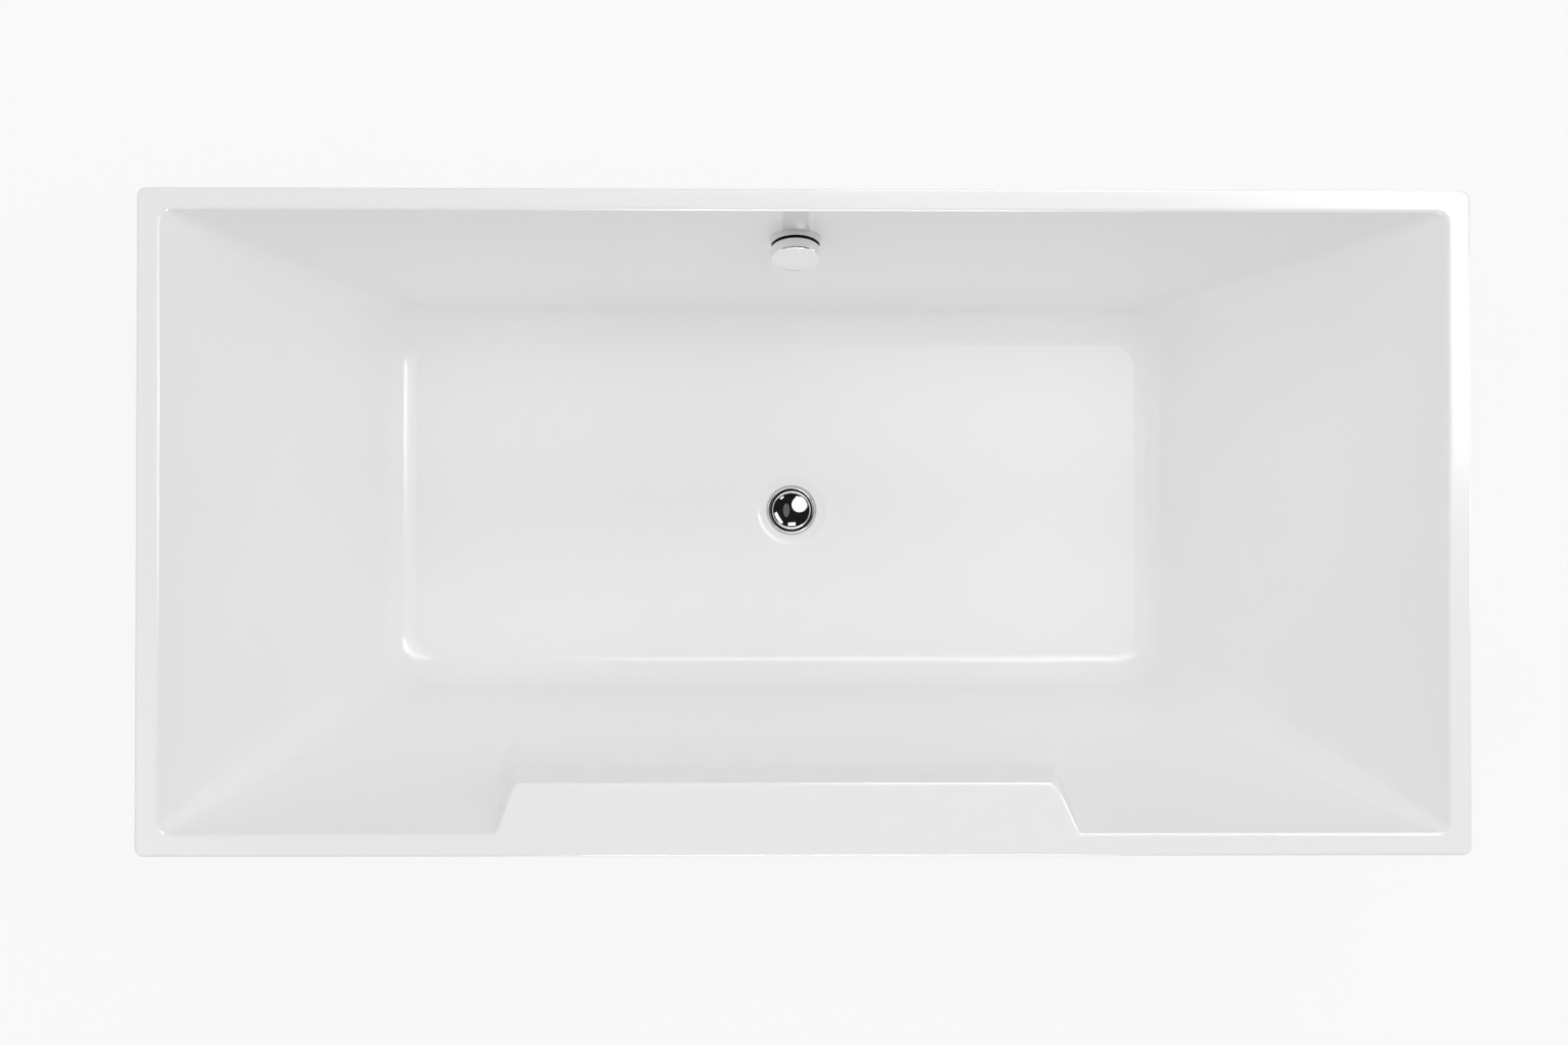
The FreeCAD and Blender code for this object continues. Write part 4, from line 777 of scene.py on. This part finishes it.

# The base ring gets the darker chrome, painted shade that sets it off from the wall.
ring_mesh = nodes["overflow_base_ring"].data
ring_mesh.materials.clear()
ring_mesh.materials.append(materials["shaded_chrome"])

basin(materials["acrylic"])
skirt(materials["acrylic"])
plug(materials["chrome"])
waste_ring(materials["chrome"])
knob(materials["chrome"])
# Black back of the knob: painted shadow in the gap behind the cap.
knob_shadow_insert(materials["black_plastic"])


# Stage, light and camera

BACKDROP_RADIUS = 12.0
BACKDROP_SWEEP = 2.0
BACKDROP_HEIGHT = 7.0
BACKDROP_GLOW = 0.85
BACKDROP_DROP = 0.0004
FLOOR_RINGS = (0.001, 2.0, 5.0)
WORLD_LEVEL = 0.012


def backdrop_material():
    """Pale matt finish that also shows near white to the camera and in reflections, and keeps a shadow."""
    material = bpy.data.materials.new("pale_backdrop")
    material.use_nodes = True
    tree = material.node_tree
    tree.nodes.clear()
    matt = tree.nodes.new("ShaderNodeBsdfDiffuse")
    matt.inputs["Color"].default_value = (0.80, 0.80, 0.80, 1)
    glow = tree.nodes.new("ShaderNodeEmission")
    glow.inputs["Strength"].default_value = 1.0
    paths = tree.nodes.new("ShaderNodeLightPath")
    seen = None
    for kind in ("Is Camera Ray", "Is Glossy Ray", "Is Transmission Ray"):
        if seen is None:
            seen = paths.outputs[kind]
            continue
        either = tree.nodes.new("ShaderNodeMath")
        either.operation = "MAXIMUM"
        tree.links.new(seen, either.inputs[0])
        tree.links.new(paths.outputs[kind], either.inputs[1])
        seen = either.outputs[0]
    share = tree.nodes.new("ShaderNodeMath")
    share.operation = "MULTIPLY"
    share.inputs[1].default_value = BACKDROP_GLOW
    mix = tree.nodes.new("ShaderNodeMixShader")
    out = tree.nodes.new("ShaderNodeOutputMaterial")
    tree.links.new(seen, share.inputs[0])
    tree.links.new(share.outputs[0], mix.inputs[0])
    tree.links.new(matt.outputs[0], mix.inputs[1])
    tree.links.new(glow.outputs[0], mix.inputs[2])
    tree.links.new(mix.outputs[0], out.inputs["Surface"])
    return material


def backdrop():
    """Round studio cove: a floor that sweeps up into a wall on all sides."""
    profile = [(radius, 0.0) for radius in FLOOR_RINGS]
    profile += rounded_corner((BACKDROP_RADIUS - BACKDROP_SWEEP, BACKDROP_SWEEP), BACKDROP_SWEEP, -90, 0, 12)
    profile.append((BACKDROP_RADIUS, BACKDROP_HEIGHT))
    points, faces = lathe(profile, 96)
    mesh = bpy.data.meshes.new("backdrop")
    mesh.from_pydata([tuple(point) for point in points], [], faces)
    mesh.polygons.foreach_set("use_smooth", [True] * len(mesh.polygons))
    mesh.materials.append(backdrop_material())
    cove = bpy.data.objects.new("backdrop", mesh)
    cove.location.z = -BACKDROP_DROP
    bpy.context.scene.collection.objects.link(cove)


def studio_world():
    """Faint even light from all sides."""
    world = bpy.data.worlds.new("studio")
    bpy.context.scene.world = world
    world.use_nodes = True
    ground = world.node_tree.nodes["Background"]
    ground.inputs["Color"].default_value = (1, 1, 1, 1)
    ground.inputs["Strength"].default_value = WORLD_LEVEL


def area_light(name, place, target, size, radiance, diffuse=True, glossy=True, shape="RECTANGLE",
               receivers=None):
    """Area light of a given radiance, aimed at target; size is (width, height).

    It lights everything, unless receivers is a group that receivers_group made.
    """
    data = bpy.data.lights.new(name, "AREA")
    data.shape = shape
    data.size = size[0]
    data.size_y = size[1]
    surface = size[0] * size[1] * (math.pi / 4 if shape == "ELLIPSE" else 1)
    data.energy = radiance * math.pi * surface
    lamp = bpy.data.objects.new(name, data)
    lamp.location = place
    lamp.rotation_euler = (Vector(target) - Vector(place)).to_track_quat("-Z", "Y").to_euler()
    lamp.visible_camera = False
    lamp.visible_diffuse = diffuse
    lamp.visible_glossy = glossy
    if receivers:
        lamp.light_linking.receiver_collection = receivers
    bpy.context.scene.collection.objects.link(lamp)


def receivers_group(name, piece, state):
    """Group for lamps that light only one piece (INCLUDE) or all the others (EXCLUDE)."""
    group = bpy.data.collections.new(name)
    group.objects.link(bpy.data.objects[piece])
    group.collection_objects[0].light_linking.link_state = state
    return group


backdrop()
studio_world()
TUB_MIDDLE = (0.0, 0.0, 0.4)
PLUG_TOP = (-0.012, 0.022, 0.17)
area_light("overhead_fill", (0.0, 0.0, 10.0), TUB_MIDDLE, (10.0, 10.0), 0.68, glossy=False)
area_light("right_fill", (8.4, 0.0, 4.4), TUB_MIDDLE, (7.0, 4.6), 0.49, glossy=False)
area_light("left_fill", (-8.4, 0.0, 4.4), TUB_MIDDLE, (7.0, 4.6), 0.67, glossy=False)
area_light("front_fill", (0.0, -8.0, 6.2), TUB_MIDDLE, (8.0, 4.6), 1.30, glossy=False)
area_light("back_fill", (0.0, 8.0, 6.2), TUB_MIDDLE, (8.0, 4.6), 1.22, glossy=False)
area_light("right_high_fill", (6.2, 0.0, 9.0), TUB_MIDDLE, (6.0, 5.0), 2.10, glossy=False)
area_light("left_high_fill", (-6.2, 0.0, 9.0), TUB_MIDDLE, (6.0, 5.0), 1.28, glossy=False)
area_light("back_high_fill", (0.0, 6.2, 9.0), TUB_MIDDLE, (6.0, 5.0), 0.83, glossy=False)
all_but_knob = receivers_group("all_but_knob", "overflow_knob", "EXCLUDE")
area_light("octabox", (1.08, 0.80, 3.16), PLUG_TOP, (2.0, 2.2), 1.08, shape="ELLIPSE",
           receivers=all_but_knob)
area_light("octabox_core", (1.05, 1.34, 3.08), PLUG_TOP, (1.10, 0.44), 5.00, diffuse=False,
           receivers=all_but_knob)
area_light("left_window", (-1.62, -0.95, 2.85), PLUG_TOP, (1.6, 0.6), 1.12)
area_light("front_window", (0.10, -1.70, 3.05), PLUG_TOP, (0.95, 0.45), 1.12)
area_light("back_window", (-1.20, 1.70, 3.05), PLUG_TOP, (0.5, 0.25), 1.12)
area_light("ceiling_panel", (-0.62, 0.05, 3.40), (-0.62, 0.05, 0.17), (0.85, 1.8), 0.12, shape="ELLIPSE")
area_light("left_edge_light", (4.2, 0.30, 0.81), (-0.8, 0.1, 0.6), (1.1, 0.34), 60.00, diffuse=False)
area_light("back_edge_light", (0.2, -4.0, 0.86), (0.0, 0.4, 0.6), (1.65, 0.36), 75.00, diffuse=False)
area_light("front_edge_light", (1.25, 4.0, 1.6), (0.4, -0.4, 0.6), (2.3, 0.8), 32.00, diffuse=False)
basin_only = receivers_group("basin_only", "tub_basin", "INCLUDE")
area_light("floor_line_light", (-0.05, 1.34, 3.08), (0.0, -0.2, 0.16), (1.15, 0.30), 6.00, diffuse=False,
           receivers=basin_only)
area_light("dish_light", (1.75, 0.75, 2.90), PLUG_TOP, (1.2, 0.42), 9.50, diffuse=False, receivers=basin_only)

CAMERA_PLACE = (-0.0549, -0.0232, 2.930)
CAMERA_TURN = (math.radians(0.55), math.radians(-0.66), math.radians(0.04))
CAMERA_LENS = 42.08
camera = bpy.data.objects.new("camera", bpy.data.cameras.new("camera"))
camera.location = CAMERA_PLACE
camera.rotation_euler = Euler(CAMERA_TURN, "XYZ")
camera.data.sensor_width = 36.0
camera.data.lens = CAMERA_LENS
bpy.context.scene.collection.objects.link(camera)
bpy.context.scene.camera = camera
bpy.context.scene.view_settings.view_transform = "Standard"
